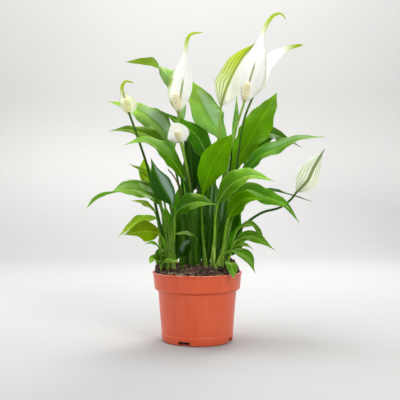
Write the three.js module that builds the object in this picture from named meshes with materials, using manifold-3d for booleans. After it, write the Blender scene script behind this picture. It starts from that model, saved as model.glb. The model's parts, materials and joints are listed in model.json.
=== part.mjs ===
// A peace lily (Spathiphyllum) growing in a 12 cm plastic nursery pot.
//
// Millimetres, +Z up. The origin is the middle of the pot's foot, on the surface it stands on.
// Every leaf is one lofted body: a round petiole that flattens into a folded, waved blade with a midrib
// underneath. Every flower has a round stalk, a thin cupped spathe and a spadix with floret relief.
// The stems stand in plain upright holes in the soil, and nothing touches its neighbour.

import * as THREE from 'three';
import { mergeVertices } from 'three/addons/utils/BufferGeometryUtils.js';
import Module from 'manifold-3d';

const wasm = await Module();
wasm.setup();

// ---------------------------------------------------------------- driving dimensions

// A tapered wall steps out to a steeper band, which ends in a lip that stands a little proud.
const POT = {
  lipRadius: 60, lipHeight: 91, lipThickness: 2.4, lipOverhang: 1.2, lipBevel: 0.8,
  bandFootRadius: 56.8, bandFootHeight: 68, bandBevel: 1.5,
  stepRadius: 52.3, footRadius: 47, footBevel: 1.5,
  wall: 1.6, floor: 2, segments: 32,
};
// Drain notches round the foot.
const NOTCH = { count: 4, width: 16, height: 6, depth: 9, firstAzimuth: -111 };
// Peat: its height at the rim and in the middle, the size of its lumps, its gap to the pot and its mounds.
const SOIL = {
  rim: 88, crown: 99, lump: 1.6, topEdge: 84,
  clearance: 0.3, chordSlack: 0.4,
  rings: 4, segments: 28,
  mounds: [
    { x: 41, y: 16, height: 13, spread: 18 },
    { x: -48, y: 6, height: 11, spread: 17 },
  ],
};
// How every stem stands in the soil. `collar` is where its bends may start, above the surface.
const STEM = { footDepth: 13, collar: 1.5, holeClearance: 0.5, holeSides: 6, holeHeadroom: 12 };
// The section of a leaf, as radii and thicknesses, and how finely its blade is divided.
const LEAF = {
  petioleFoot: 1.9, petioleNeck: 1.25,
  thickness: 0.7, midrib: 0.9, edgeRadius: 0.5,
  broadRings: 8, slimRings: 6,
};
// How a margin ripples: radians from neck to tip, and where each side starts.
const RIPPLE = { span: 17, leftStart: 2.6, rightStart: 0.8 };
const STALK = { foot: 2, top: 1.5, driedTop: 0.8, cells: 2, rings: 7 };
const SPADIX = { sides: 8, rings: 8, relief: 0.07, neck: 0.32 };
const SPATHE = { thickness: 0.7, edgeRadius: 0.6, cells: 4, rings: 12, body: 0.64, tail: 0.24 };
// How a spathe and a spadix sit on the top of their stalk.
const SEAT = { clearance: 0.3, claspDepth: 3 };

const UP = new THREE.Vector3(0, 0, 1);
const FRONT = new THREE.Vector3(0, -1, 0);
const RIGHT = new THREE.Vector3(1, 0, 0);

// ---------------------------------------------------------------- small helpers

const { degToRad, lerp, mapLinear, smoothstep } = THREE.MathUtils;
const vector = ([x, y, z]) => new THREE.Vector3(x, y, z);

/** What is left of `direction` across `tangent`, as a unit vector. */
function across(direction, tangent) {
  return direction.clone().addScaledVector(tangent, -direction.dot(tangent)).normalize();
}

function geometryOf(positions, indices) {
  const geometry = new THREE.BufferGeometry();
  geometry.setAttribute('position', new THREE.Float32BufferAttribute(positions, 3));
  geometry.setIndex(indices);
  geometry.computeVertexNormals();
  return geometry;
}

/**
 * A closed body through rings of 2 * cells + 2 points. Points 0..cells run over the upper face and the
 * rest back under it, so that upper and lower face are split along the same diagonals.
 */
function loft(rings) {
  const count = rings[0].length;
  const cells = count / 2 - 1;
  const indices = [];
  const quad = (a, b, c, d, alongAC) => {
    if (alongAC) indices.push(a, c, b, a, d, c);
    else indices.push(a, d, b, b, d, c);
  };
  for (let ring = 0; ring + 1 < rings.length; ring += 1) {
    for (let k = 0; k < count; k += 1) {
      const next = (k + 1) % count;
      const upper = k < cells;
      const cell = upper ? k : 2 * cells - k;
      const left = cell < cells / 2;
      quad(ring * count + k, (ring + 1) * count + k, (ring + 1) * count + next, ring * count + next,
        upper === left);
    }
  }
  const last = (rings.length - 1) * count;
  for (let k = 0; k < cells; k += 1) {
    const under = count - 1 - k;
    quad(k, k + 1, under - 1, under, true);
    quad(last + under, last + under - 1, last + k + 1, last + k, true);
  }
  return geometryOf(rings.flat().flatMap((point) => point.toArray()), indices);
}

function toManifold(geometry) {
  const bare = geometry.clone();
  bare.deleteAttribute('normal');
  bare.deleteAttribute('uv');
  const merged = mergeVertices(bare, 1e-4);
  return new wasm.Manifold(new wasm.Mesh({
    numProp: 3,
    vertProperties: new Float32Array(merged.attributes.position.array),
    triVerts: new Uint32Array(merged.index.array),
  }));
}

function fromManifold(solid) {
  const mesh = solid.getMesh();
  return geometryOf(Array.from(mesh.vertProperties), Array.from(mesh.triVerts));
}

function meshOf(name, geometry, [color, roughness]) {
  const mesh = new THREE.Mesh(geometry, new THREE.MeshStandardMaterial({ color, roughness, metalness: 0 }));
  mesh.name = name;
  return mesh;
}

/** A LatheGeometry turned so that its axis is +Z. */
function turned(profile, segments) {
  const points = profile.map(([radius, height]) => new THREE.Vector2(radius, height));
  return new THREE.LatheGeometry(points, segments).rotateX(Math.PI / 2);
}

// ---------------------------------------------------------------- pot

/** Radius of the outer wall below the step. */
function wallRadius(z) {
  return mapLinear(z, 0, POT.bandFootHeight, POT.footRadius, POT.stepRadius);
}

/** Radius of the outer face of the band above the step. */
function bandRadius(z) {
  const top = POT.lipRadius - POT.lipOverhang;
  return mapLinear(z, POT.bandFootHeight, POT.lipHeight, POT.bandFootRadius, top);
}

function potGeometry() {
  const lipFoot = POT.lipHeight - POT.lipThickness;
  const bandFoot = POT.bandFootHeight + POT.bandBevel;
  const wallTop = POT.bandFootHeight - POT.bandBevel;
  const outside = [
    [0, 0],
    [POT.footRadius - POT.footBevel, 0],
    [POT.footRadius, POT.footBevel],
    [wallRadius(wallTop), wallTop],
    [POT.bandFootRadius - POT.bandBevel, POT.bandFootHeight],
    [POT.bandFootRadius, bandFoot],
    [bandRadius(lipFoot), lipFoot],
    [POT.lipRadius, lipFoot + POT.lipBevel],
    [POT.lipRadius, POT.lipHeight - POT.lipBevel],
    [POT.lipRadius - POT.lipBevel, POT.lipHeight],
  ];
  const inside = [
    [bandRadius(POT.lipHeight) - POT.wall, POT.lipHeight],
    [POT.bandFootRadius - POT.wall, bandFoot + POT.wall],
    [wallRadius(POT.bandFootHeight) - POT.wall, POT.bandFootHeight],
    [wallRadius(POT.floor) - POT.wall, POT.floor],
    [0, POT.floor],
  ];
  let pot = toManifold(turned([...outside, ...inside], POT.segments));
  for (let i = 0; i < NOTCH.count; i += 1) {
    const azimuth = degToRad(NOTCH.firstAzimuth + i * 360 / NOTCH.count);
    const cutter = new THREE.BoxGeometry(NOTCH.depth, NOTCH.width, 2 * NOTCH.height);
    cutter.translate(POT.footRadius, 0, 0).rotateZ(azimuth);
    pot = pot.subtract(toManifold(cutter));
  }
  return fromManifold(pot);
}

// ---------------------------------------------------------------- soil

/** Height of the domed, lumpy peat: level with the lip in front, mounded in the middle and both sides. */
function soilTop(x, y) {
  const edge = Math.hypot(x, y) / POT.lipRadius;
  const dome = SOIL.rim + (SOIL.crown - SOIL.rim) * (1 - edge ** 3);
  const mounds = SOIL.mounds.reduce((sum, mound) => (
    sum + mound.height * Math.exp(-((Math.hypot(x - mound.x, y - mound.y) / mound.spread) ** 2))), 0);
  const lumps = Math.sin(x * 0.31 + 1.3) * Math.cos(y * 0.27 - 0.6) + 0.7 * Math.sin(x * 0.17 - y * 0.43);
  return dome + mounds + SOIL.lump * lumps * (1.1 - edge);
}

function soilGeometry(stems) {
  const inner = (radius) => radius - POT.wall - SOIL.clearance - SOIL.chordSlack;
  const side = [
    [inner(wallRadius(POT.floor)), POT.floor + SOIL.clearance],
    [inner(wallRadius(POT.bandFootHeight)), POT.bandFootHeight],
    [inner(POT.bandFootRadius), POT.bandFootHeight + POT.bandBevel + 2 * POT.wall],
    [inner(bandRadius(SOIL.topEdge)), SOIL.topEdge],
  ];
  const positions = [0, 0, side[0][1]];
  const ringAt = (radius, height) => {
    for (let i = 0; i < SOIL.segments; i += 1) {
      const angle = i / SOIL.segments * 2 * Math.PI;
      const x = radius * Math.cos(angle);
      const y = radius * Math.sin(angle);
      positions.push(x, y, height(x, y));
    }
  };
  for (const [radius, z] of side) ringAt(radius, () => z);
  const outer = side[side.length - 1][0];
  for (let ring = 0; ring < SOIL.rings; ring += 1) ringAt(outer * (1 - ring / SOIL.rings), soilTop);
  positions.push(0, 0, soilTop(0, 0));
  const indices = [];
  const ringCount = side.length + SOIL.rings;
  const apex = positions.length / 3 - 1;
  for (let i = 0; i < SOIL.segments; i += 1) {
    const next = (i + 1) % SOIL.segments;
    indices.push(0, 1 + next, 1 + i);
    for (let ring = 0; ring + 1 < ringCount; ring += 1) {
      const a = 1 + ring * SOIL.segments;
      const b = a + SOIL.segments;
      indices.push(a + i, a + next, b + next, a + i, b + next, b + i);
    }
    const top = 1 + (ringCount - 1) * SOIL.segments;
    indices.push(top + i, top + next, apex);
  }
  let soil = toManifold(geometryOf(positions, indices));
  for (const { x, y, radius } of stems) {
    const bottom = soilTop(x, y) - STEM.footDepth - STEM.holeClearance;
    const height = STEM.footDepth + STEM.holeHeadroom;
    const hole = new THREE.CylinderGeometry(radius, radius, height, STEM.holeSides).rotateX(Math.PI / 2);
    hole.translate(x, y, bottom + height / 2);
    soil = soil.subtract(toManifold(hole));
  }
  return fromManifold(soil);
}

// ---------------------------------------------------------------- leaves

/**
 * Half width of a blade from its neck (0) to its tip (1), as a share of the widest. `belly` moves the
 * widest place towards the tip and `taper` draws the tip out.
 */
function bladeOutline(t, belly, taper) {
  const oval = Math.max(Math.sin(Math.PI * t ** belly), 0) ** 1.05;
  return oval * (1 - taper * smoothstep(t, 0.5, 1));
}

/** The line that a stem follows: straight up out of its hole, then through `points`. */
function stemLine(root, points) {
  const [x, y] = root;
  const surface = soilTop(x, y);
  const foot = new THREE.Vector3(x, y, surface - STEM.footDepth);
  const collar = new THREE.Vector3(x, y, surface + STEM.collar);
  const curve = new THREE.CatmullRomCurve3([collar, ...points.map(vector)], false, 'centripetal');
  return { foot, curve };
}

/**
 * A leaf: round petiole from the soil through `stem`, then a blade through `blade` (neck first, tip last).
 * `face` is the way the upper surface looks and `tipFace` the way it has turned to by the tip. `fold` lifts
 * both halves and `wave` ripples the margins.
 */
function leafGeometry(leaf) {
  const { root, stem, blade, face, tipFace = face, cells = 4 } = leaf;
  const { foot, curve } = stemLine(root, [...stem, ...blade]);
  const neck = neckShare(curve, stem.length + 1, stem.length + blade.length);
  const stemRings = stem.length + 2;
  const bladeRings = cells === 4 ? LEAF.broadRings : LEAF.slimRings;
  const steps = [];
  for (let i = 0; i < stemRings; i += 1) steps.push({ at: neck * i / stemRings, t: 0 });
  for (let i = 0; i <= bladeRings; i += 1) {
    const t = i / bladeRings;
    steps.push({ at: neck + (1 - neck) * t, t });
  }
  let normal = vector(tipFace).normalize();
  const rings = steps.reverse().map(({ at, t }) => {
    const tangent = curve.getTangentAt(at);
    normal = across(t > 0 ? vector(face).lerp(vector(tipFace), smoothstep(t, 0.4, 0.9)) : normal, tangent);
    return leafRing(curve.getPointAt(at), tangent, normal, Math.min(at / neck, 1), t, leaf);
  }).reverse();
  const front = across(normal, UP);
  rings.unshift(roundRing(foot, UP.clone().cross(front), front, LEAF.petioleFoot, cells));
  return loft(rings);
}

/** Share of a stem line's length that lies below its `index`-th point of `count`, the blade's neck. */
function neckShare(curve, index, count) {
  const samples = 40;
  const lengths = curve.getLengths(count * samples);
  return lengths[index * samples] / lengths[count * samples];
}

/** One ring of a round stem: points 0..cells over its upper side, the rest back under it. */
function roundRing(centre, side, normal, radius, cells) {
  const count = 2 * cells + 2;
  return Array.from({ length: count }, (_, k) => {
    const angle = Math.PI - (k + 0.5) / count * 2 * Math.PI;
    return centre.clone()
      .addScaledVector(side, radius * Math.cos(angle))
      .addScaledVector(normal, radius * Math.sin(angle));
  });
}

/** One ring of a leaf: `up` is the place on the petiole (0 to 1) and `t` the place on the blade. */
function leafRing(centre, tangent, normal, up, t, leaf) {
  const { width, cells = 4, fold = 0.2, wave = 0.06, belly = 0.8, taper = 0.5 } = leaf;
  const side = tangent.clone().cross(normal);
  if (t === 0) return roundRing(centre, side, normal, lerp(LEAF.petioleFoot, LEAF.petioleNeck, up), cells);
  const reach = Math.max(width / 2 * bladeOutline(t, belly, taper), LEAF.edgeRadius);
  const points = [];
  for (let k = 0; k <= cells; k += 1) points.push({ u: 2 * k / cells - 1, under: 0 });
  for (let k = cells; k >= 0; k -= 1) {
    const u = 2 * k / cells - 1;
    const ridge = u === 0 ? LEAF.midrib * (1 - t) : 0;
    points.push({ u, under: LEAF.thickness + ridge });
  }
  return points.map(({ u, under }) => {
    const start = u > 0 ? RIPPLE.rightStart : RIPPLE.leftStart;
    const ripple = wave * u * u * Math.sin(t * RIPPLE.span + start);
    const rise = reach * (fold * foldRise(u) + ripple);
    return centre.clone()
      .addScaledVector(side, u * reach)
      .addScaledVector(normal, rise - under + LEAF.thickness / 2);
  });
}

/** Rise of a folded blade at `u` (-1 to 1) across it: steep beside the midrib, then arching over. */
function foldRise(u) {
  return 1.35 * Math.abs(u) - 0.8 * u * u;
}

// Colour and roughness of each tone of leaf.
const GREEN = {
  bright: [0x86b52a, 0.5],
  fresh: [0x5d9a2c, 0.5],
  mid: [0x3f7a26, 0.45],
  dark: [0x28561d, 0.4],
};

const LEAVES = [
  // Leaves to the left, from the top down.
  { name: 'leaf_top_left', root: [-12, 20], stem: [[-14, 22, 190]],
    blade: [[-20, 28, 290], [-36, 35, 354], [-61, 46, 378], [-103, 60, 383]],
    width: 32, face: [0.3, -0.7, 0.7], tipFace: [0, 0.9, 0.8], belly: 0.9, taper: 0.25, tone: 'fresh' },
  { name: 'leaf_upper_left', root: [-14, 10], stem: [[-17, 11, 170]],
    blade: [[-30, 12, 252], [-58, 20, 292], [-90, 30, 313], [-126, 40, 324]],
    width: 42, face: [0.2, -0.7, 0.8], belly: 0.9, taper: 0.35, tone: 'mid' },
  { name: 'leaf_mid_left', root: [-12, 0], stem: [[-20, 0, 180]],
    blade: [[-38, -2, 248], [-62, -6, 270], [-89, -8, 279], [-117, -10, 277]],
    width: 25, face: [0, -0.7, 0.75], tone: 'dark', cells: 2 },
  { name: 'leaf_left_arch', root: [-8, -12], stem: [[-10, -15, 160]],
    blade: [[-17, -18, 211], [-41, -33, 246], [-66, -47, 261], [-91, -62, 254]],
    width: 29, face: [0, -0.7, 0.75], tone: 'bright' },
  { name: 'leaf_left_narrow', root: [-32, 6], stem: [[-39, 4, 150]],
    blade: [[-50, 0, 203], [-68, -2, 222], [-91, -4, 234]],
    width: 14, face: [0.2, -0.7, 0.7], tone: 'mid', cells: 2 },
  { name: 'leaf_left_back', root: [-36, 14], stem: [[-44, 18, 150]],
    blade: [[-55, 22, 190], [-70, 34, 216], [-76, 54, 245]],
    width: 24, face: [0.5, -0.7, 0.3], belly: 1.1, taper: 0.1, tone: 'bright' },
  { name: 'leaf_left_short', root: [-40, 0], stem: [[-45, 1, 150]],
    blade: [[-52, -4, 192], [-72, -7, 207], [-92, -8, 213]],
    width: 16, face: [0, -0.6, 0.9], tone: 'mid', cells: 2 },
  { name: 'leaf_left_front', root: [-32, -20], stem: [[-33, -25, 140]],
    blade: [[-32, -30, 178], [-47, -43, 208], [-58, -56, 239]],
    width: 27, face: [-0.3, -0.9, 0.4], tone: 'dark' },
  { name: 'leaf_far_left', root: [-36, -13], stem: [[-40, -16, 140]],
    blade: [[-48, -22, 180], [-79, -45, 199], [-109, -58, 194], [-125, -65, 188], [-136, -72, 175]],
    width: 30, face: [0, -0.7, 0.8], tipFace: [0, 0.7, 0.6], belly: 0.6, taper: 0.3, tone: 'mid' },
  { name: 'leaf_left_narrow_low', root: [-46, -2], stem: [[-50, -3, 140]],
    blade: [[-56, -5, 170], [-71, -9, 182], [-87, -12, 185]],
    width: 14, face: [0, -0.5, 1], tone: 'fresh', cells: 2 },
  { name: 'leaf_low_left', root: [-44, 8], stem: [[-48, 7, 135]],
    blade: [[-53, 4, 160], [-77, -5, 158], [-104, -16, 138]],
    width: 22, face: [-0.2, -0.6, 0.9], tone: 'mid', cells: 2 },
  { name: 'leaf_low_left_broad', root: [-38, -21], stem: [[-41, -24, 124]],
    blade: [[-48, -26, 141], [-69, -42, 146], [-92, -60, 143]],
    width: 27, face: [-0.2, -1, 0.3], tone: 'fresh' },

  // Leaves of the middle crown.
  { name: 'leaf_top_centre', root: [20, 14], stem: [[30, 15, 180]],
    blade: [[39, 14, 256], [13, 28, 303], [-9, 48, 355]],
    width: 46, face: [0.3, -0.85, 0.4], belly: 1.1, taper: 0.1, tone: 'mid' },
  { name: 'leaf_upright', root: [27, 18], stem: [[38, 20, 170]],
    blade: [[48, 25, 259], [53, 28, 301], [54, 28, 337]],
    width: 8, face: [0.4, -1, 0.2], tone: 'dark', cells: 2 },
  { name: 'leaf_centre_arch', root: [8, 8], stem: [[14, 8, 170]],
    blade: [[17, 8, 230], [0, 14, 272], [-50, 28, 309]],
    width: 27, face: [-0.4, -0.5, 0.7], tone: 'mid' },
  { name: 'leaf_inner_left', root: [0, 4], stem: [[-4, 2, 150]],
    blade: [[-6, 1, 196], [-8, 3, 236], [-12, 3, 270]],
    width: 24, face: [0.2, -1, 0.1], tone: 'dark' },
  { name: 'leaf_front_centre', root: [11, -18], stem: [[7, -30, 145]],
    blade: [[7, -40, 192], [20, -52, 232], [44, -64, 268]],
    width: 36, face: [0.3, -1, 0.3], belly: 1.1, taper: 0.1, tone: 'bright' },
  { name: 'leaf_front_level', root: [-30, -28], stem: [[-29, -36, 145]],
    blade: [[-26, -42, 170], [-4, -54, 183], [25, -74, 180]],
    width: 28, face: [0, -0.8, 0.6], belly: 0.7, tone: 'mid', cells: 2 },
  { name: 'leaf_front_small', root: [-2, -22], stem: [[-3, -36, 122]],
    blade: [[0, -46, 137], [-12, -58, 144], [-29, -70, 144]],
    width: 13, face: [0, -0.6, 1], tone: 'fresh', cells: 2 },
  { name: 'leaf_front_low', root: [-20, -30], stem: [[-20, -38, 108]],
    blade: [[-19, -44, 113], [-15, -50, 128], [-4, -54, 138]],
    width: 20, face: [0.6, -0.7, 0.4], tone: 'dark', cells: 2 },

  // Leaves to the right, from the top down.
  { name: 'leaf_tall_right', root: [27, 3], stem: [[35, 3, 160]],
    blade: [[45, 4, 216], [78, 18, 279], [111, 40, 336]],
    width: 47, face: [-0.4, -0.8, 0.5], belly: 1.1, taper: 0.05, tone: 'bright' },
  { name: 'leaf_behind_right', root: [34, 20], stem: [[48, 23, 165]],
    blade: [[64, 26, 232], [96, 42, 278], [123, 58, 274], [151, 76, 262]],
    width: 32, face: [0.1, -0.75, 0.65], tone: 'dark' },
  { name: 'leaf_long_right', root: [28, -9], stem: [[42, -14, 150], [54, -20, 190]],
    blade: [[60, -25, 216], [80, -37, 242], [105, -48, 253], [128, -60, 262], [155, -76, 263]],
    width: 29, face: [0.1, -0.65, 0.75], tone: 'mid' },
  { name: 'leaf_front_arch', root: [20, -18], stem: [[22, -32, 135]],
    blade: [[26, -45, 180], [44, -56, 206], [66, -66, 216], [93, -80, 209]],
    width: 36, face: [0, -0.7, 0.8], tone: 'bright' },
  { name: 'leaf_right_level', root: [34, 12], stem: [[43, 10, 145]],
    blade: [[55, 8, 187], [81, 18, 200], [114, 30, 197], [160, 42, 184]],
    width: 23, face: [0, -0.05, 1], tone: 'dark', cells: 2 },
  { name: 'leaf_right_droop', root: [34, -4], stem: [[39, -7, 140]],
    blade: [[45, -9, 174], [65, -10, 199], [88, -12, 191], [113, -14, 181], [134, -16, 156]],
    width: 27, face: [0.1, -0.75, 0.65], tone: 'dark' },
  { name: 'leaf_right_inner', root: [31, -18], stem: [[35, -22, 135]],
    blade: [[41, -27, 163], [59, -41, 187], [82, -58, 187]],
    width: 25, face: [-0.1, -0.9, 0.4], tone: 'bright' },
  { name: 'leaf_right_rim', root: [24, -26], stem: [[30, -33, 113]],
    blade: [[44, -38, 121], [62, -45, 115], [73, -50, 94]],
    width: 17, face: [0.4, -0.8, 0.6], tone: 'fresh', cells: 2 },

  // Leaves that lean to the back.
  { name: 'leaf_back_left', root: [-30, 24], stem: [[-34, 34, 150]],
    blade: [[-40, 50, 182], [-58, 76, 206], [-78, 104, 208]],
    width: 38, face: [0.4, -0.3, 0.9], tone: 'mid' },
  { name: 'leaf_back_centre', root: [0, 28], stem: [[-1, 42, 160]],
    blade: [[2, 56, 196], [-2, 78, 262], [-12, 112, 300]],
    width: 42, face: [0.1, -0.7, 0.6], belly: 0.7, taper: 0.3, tone: 'mid' },
  { name: 'leaf_back_right', root: [24, 28], stem: [[30, 42, 160]],
    blade: [[40, 62, 215], [62, 92, 245], [88, 122, 240]],
    width: 36, face: [-0.3, -0.4, 0.9], tone: 'fresh' },
];

// Leaves that share one sheath at the soil, fused into one body: low ones that fill the heart of the
// plant behind the stems, and young ones at the rim.
const SPRIGS = [
  { name: 'low_leaves_left', root: [-24, 40], tone: 'dark', leaves: [
    { stem: [[-27, 43, 98]],
      blade: [[-29, 44, 101], [-37, 50, 140], [-48, 66, 182]],
      width: 40, face: [0.1, -0.9, 0.3], belly: 0.5 },
    { stem: [[-22, 44, 98]],
      blade: [[-21, 45, 101], [-20, 52, 150], [-20, 68, 205]],
      width: 38, face: [0, -0.9, 0.3], belly: 0.5 },
    { stem: [[-22, 46, 120]],
      blade: [[-21, 49, 130], [-19, 62, 180], [-19, 82, 226]],
      width: 34, face: [0, -0.9, 0.3], belly: 0.9 },
  ] },
  { name: 'low_leaves_back', root: [8, 44], tone: 'dark', leaves: [
    { stem: [[6, 48, 98]],
      blade: [[4, 50, 101], [5, 62, 155], [5, 82, 210]],
      width: 42, face: [0, -0.9, 0.3], belly: 0.5 },
    { stem: [[11, 47, 98]],
      blade: [[14, 48, 101], [26, 54, 146], [33, 70, 196]],
      width: 38, face: [-0.1, -0.9, 0.3], belly: 0.5 },
    { stem: [[9, 49, 120]],
      blade: [[11, 52, 130], [15, 66, 182], [16, 86, 236]],
      width: 40, face: [0, -0.9, 0.3], belly: 0.9 },
  ] },
  { name: 'low_leaves_right', root: [34, 34], tone: 'dark', leaves: [
    { stem: [[37, 37, 106]],
      blade: [[39, 38, 109], [49, 45, 143], [64, 60, 176]],
      width: 38, face: [-0.2, -0.9, 0.3], belly: 0.5 },
    { stem: [[36, 38, 120]],
      blade: [[37, 40, 130], [44, 52, 172], [50, 70, 212]],
      width: 38, face: [-0.1, -0.9, 0.3], belly: 0.9 },
    { stem: [[40, 34, 106]],
      blade: [[44, 33, 109], [57, 33, 124], [70, 33, 134]],
      width: 18, face: [-0.1, -0.8, 0.6], belly: 0.8 },
  ] },
  { name: 'young_leaves_left', root: [-46, -14], tone: 'fresh', leaves: [
    { stem: [[-48, -16, 116]],
      blade: [[-50, -17, 124], [-58, -21, 130], [-68, -24, 129]],
      width: 7, face: [0, -0.6, 1] },
    { stem: [[-48, -18, 102]],
      blade: [[-50, -20, 105], [-57, -28, 110], [-61, -36, 104]],
      width: 14, face: [-0.2, -0.8, 0.6], belly: 0.6, taper: 0.2 },
    { stem: [[-46, -20, 102]],
      blade: [[-45, -25, 105], [-37, -36, 111], [-23, -46, 107]],
      width: 17, face: [0.1, -0.8, 0.6], belly: 0.7, taper: 0.2 },
    { stem: [[-46, -18, 104]],
      blade: [[-47, -20, 107], [-48, -28, 118], [-42, -37, 122]],
      width: 13, face: [0, -0.9, 0.5], belly: 0.7, taper: 0.2 },
  ] },
  { name: 'young_leaves_right', root: [39, -10], tone: 'fresh', leaves: [
    { stem: [[46, -12, 130]],
      blade: [[54, -14, 148], [71, -14, 154], [91, -13, 129]],
      width: 14, face: [0.1, -0.5, 1] },
    { stem: [[44, -16, 120]],
      blade: [[50, -19, 132], [70, -23, 139], [101, -28, 121]],
      width: 18, face: [0.1, -0.8, 0.8] },
    { stem: [[43, -19, 115]],
      blade: [[46, -24, 124], [59, -31, 129], [72, -36, 123]],
      width: 8, face: [0, -0.6, 1] },
    { stem: [[41, -22, 103]],
      blade: [[41, -30, 106], [43, -44, 104], [46, -53, 87]],
      width: 15, face: [0.2, -0.8, 0.5], belly: 0.9, taper: 0.1 },
  ] },
];

/** Several small leaves out of one sheath, joined into one closed body. */
function sprigGeometry({ root, leaves }) {
  const bodies = leaves.map((leaf) => toManifold(leafGeometry({ ...leaf, root, cells: 2 })));
  return fromManifold(bodies.reduce((whole, body) => whole.add(body)));
}

// ---------------------------------------------------------------- flowers

/** A round stalk that leans and tapers from the soil to its last point. */
function stalkGeometry(root, points, topRadius = STALK.top) {
  const { foot, curve } = stemLine(root, points);
  const rings = [];
  let normal = FRONT;
  const ringAt = (centre, tangent, radius) => {
    normal = across(normal, tangent);
    const side = tangent.clone().cross(normal);
    rings.push(roundRing(centre, side, normal, radius, STALK.cells));
  };
  ringAt(foot, UP, STALK.foot);
  for (let i = 0; i <= STALK.rings; i += 1) {
    const at = i / STALK.rings;
    ringAt(curve.getPoint(at), curve.getTangent(at), lerp(STALK.foot, topRadius, at));
  }
  return loft(rings);
}

/**
 * Half width of a spathe along its length, as a share of the widest: a broad oval over `body` of the
 * length, joined to a narrow clasping base and a ribbon of a tip, `tail` wide.
 */
function spatheOutline(t, body, tail) {
  const oval = t < body ? Math.sin(Math.PI * (t / body) ** 0.8) ** 0.9 : 0;
  const ribbon = tail * smoothstep(t, 0, 0.3) * (1 - t) ** 0.5;
  return Math.hypot(oval, ribbon);
}

/** The top of a stalk and the way it points there, which its spathe and spadix are seated on. */
function stalkTop(root, points) {
  const { curve } = stemLine(root, points);
  return { top: curve.getPoint(1), rise: curve.getTangent(1) };
}

/** A thin bract cupped towards `face`: it clasps the back of its stalk's top, then follows `line`. */
function spatheGeometry({ top, rise }, spathe) {
  const { line, width, face, cup, body = SPATHE.body, tail = SPATHE.tail } = spathe;
  const base = top.clone().addScaledVector(rise, -SEAT.claspDepth)
    .addScaledVector(across(vector(face), rise), -(STALK.top + SEAT.clearance));
  const curve = new THREE.CatmullRomCurve3([base, ...line.map(vector)], false, 'centripetal');
  const { cells } = SPATHE;
  const rings = [];
  for (let i = 0; i <= SPATHE.rings; i += 1) {
    const t = i / SPATHE.rings;
    const tangent = curve.getTangentAt(t);
    const normal = across(vector(face), tangent);
    const side = tangent.clone().cross(normal);
    const reach = Math.max(width / 2 * spatheOutline(t, body, tail), SPATHE.edgeRadius);
    const ring = [];
    const point = (u, under) => {
      const bend = cup * u;
      ring.push(curve.getPointAt(t)
        .addScaledVector(side, reach * Math.sin(bend) / cup)
        .addScaledVector(normal, reach * (1 - Math.cos(bend)) / cup - under));
    };
    for (let k = 0; k <= cells; k += 1) point(2 * k / cells - 1, 0);
    for (let k = cells; k >= 0; k -= 1) point(2 * k / cells - 1, SPATHE.thickness);
    rings.push(ring);
  }
  return loft(rings);
}

/** The knobbly spike on a stalk's top: rings of florets in relief between a neck and a rounded end. */
function spadixGeometry({ top, rise }, { tip, radius }) {
  const direction = vector(tip).sub(top).normalize();
  const tilt = Math.sin(direction.angleTo(rise));
  const base = top.clone().addScaledVector(direction, SEAT.clearance + radius * SPADIX.neck * tilt);
  const axis = vector(tip).sub(base);
  const side = across(RIGHT, direction);
  const depth = side.clone().cross(direction);
  const rings = [];
  for (let ring = 0; ring <= SPADIX.rings; ring += 1) {
    const s = ring / SPADIX.rings;
    const body = Math.sqrt(Math.max(1 - (2 * s - 1) ** 4, 0));
    const reach = radius * Math.max(body, SPADIX.neck);
    const points = [];
    for (let k = 0; k < SPADIX.sides; k += 1) {
      const angle = Math.PI - (k + 0.5 * (ring % 2)) / SPADIX.sides * 2 * Math.PI;
      const floret = reach * (1 + SPADIX.relief * (k % 2 === ring % 2 ? 1 : -1));
      points.push(base.clone().addScaledVector(axis, s)
        .addScaledVector(side, floret * Math.cos(angle))
        .addScaledVector(depth, floret * Math.sin(angle)));
    }
    rings.push(points);
  }
  return loft(rings);
}

const COLOURS = {
  pot: [0xcc5a3c, 0.55],
  peat: [0x3a2c28, 0.95],
  driedStalk: [0x8a7a45, 0.8],
  stalk: { light: [0xa9c66a, 0.5], dark: [0x4f7a35, 0.5] },
  spathe: { white: [0xf1f3e6, 0.55], green: [0xc3d879, 0.55] },
  spadix: [0xefe3b0, 0.7],
};

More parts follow.
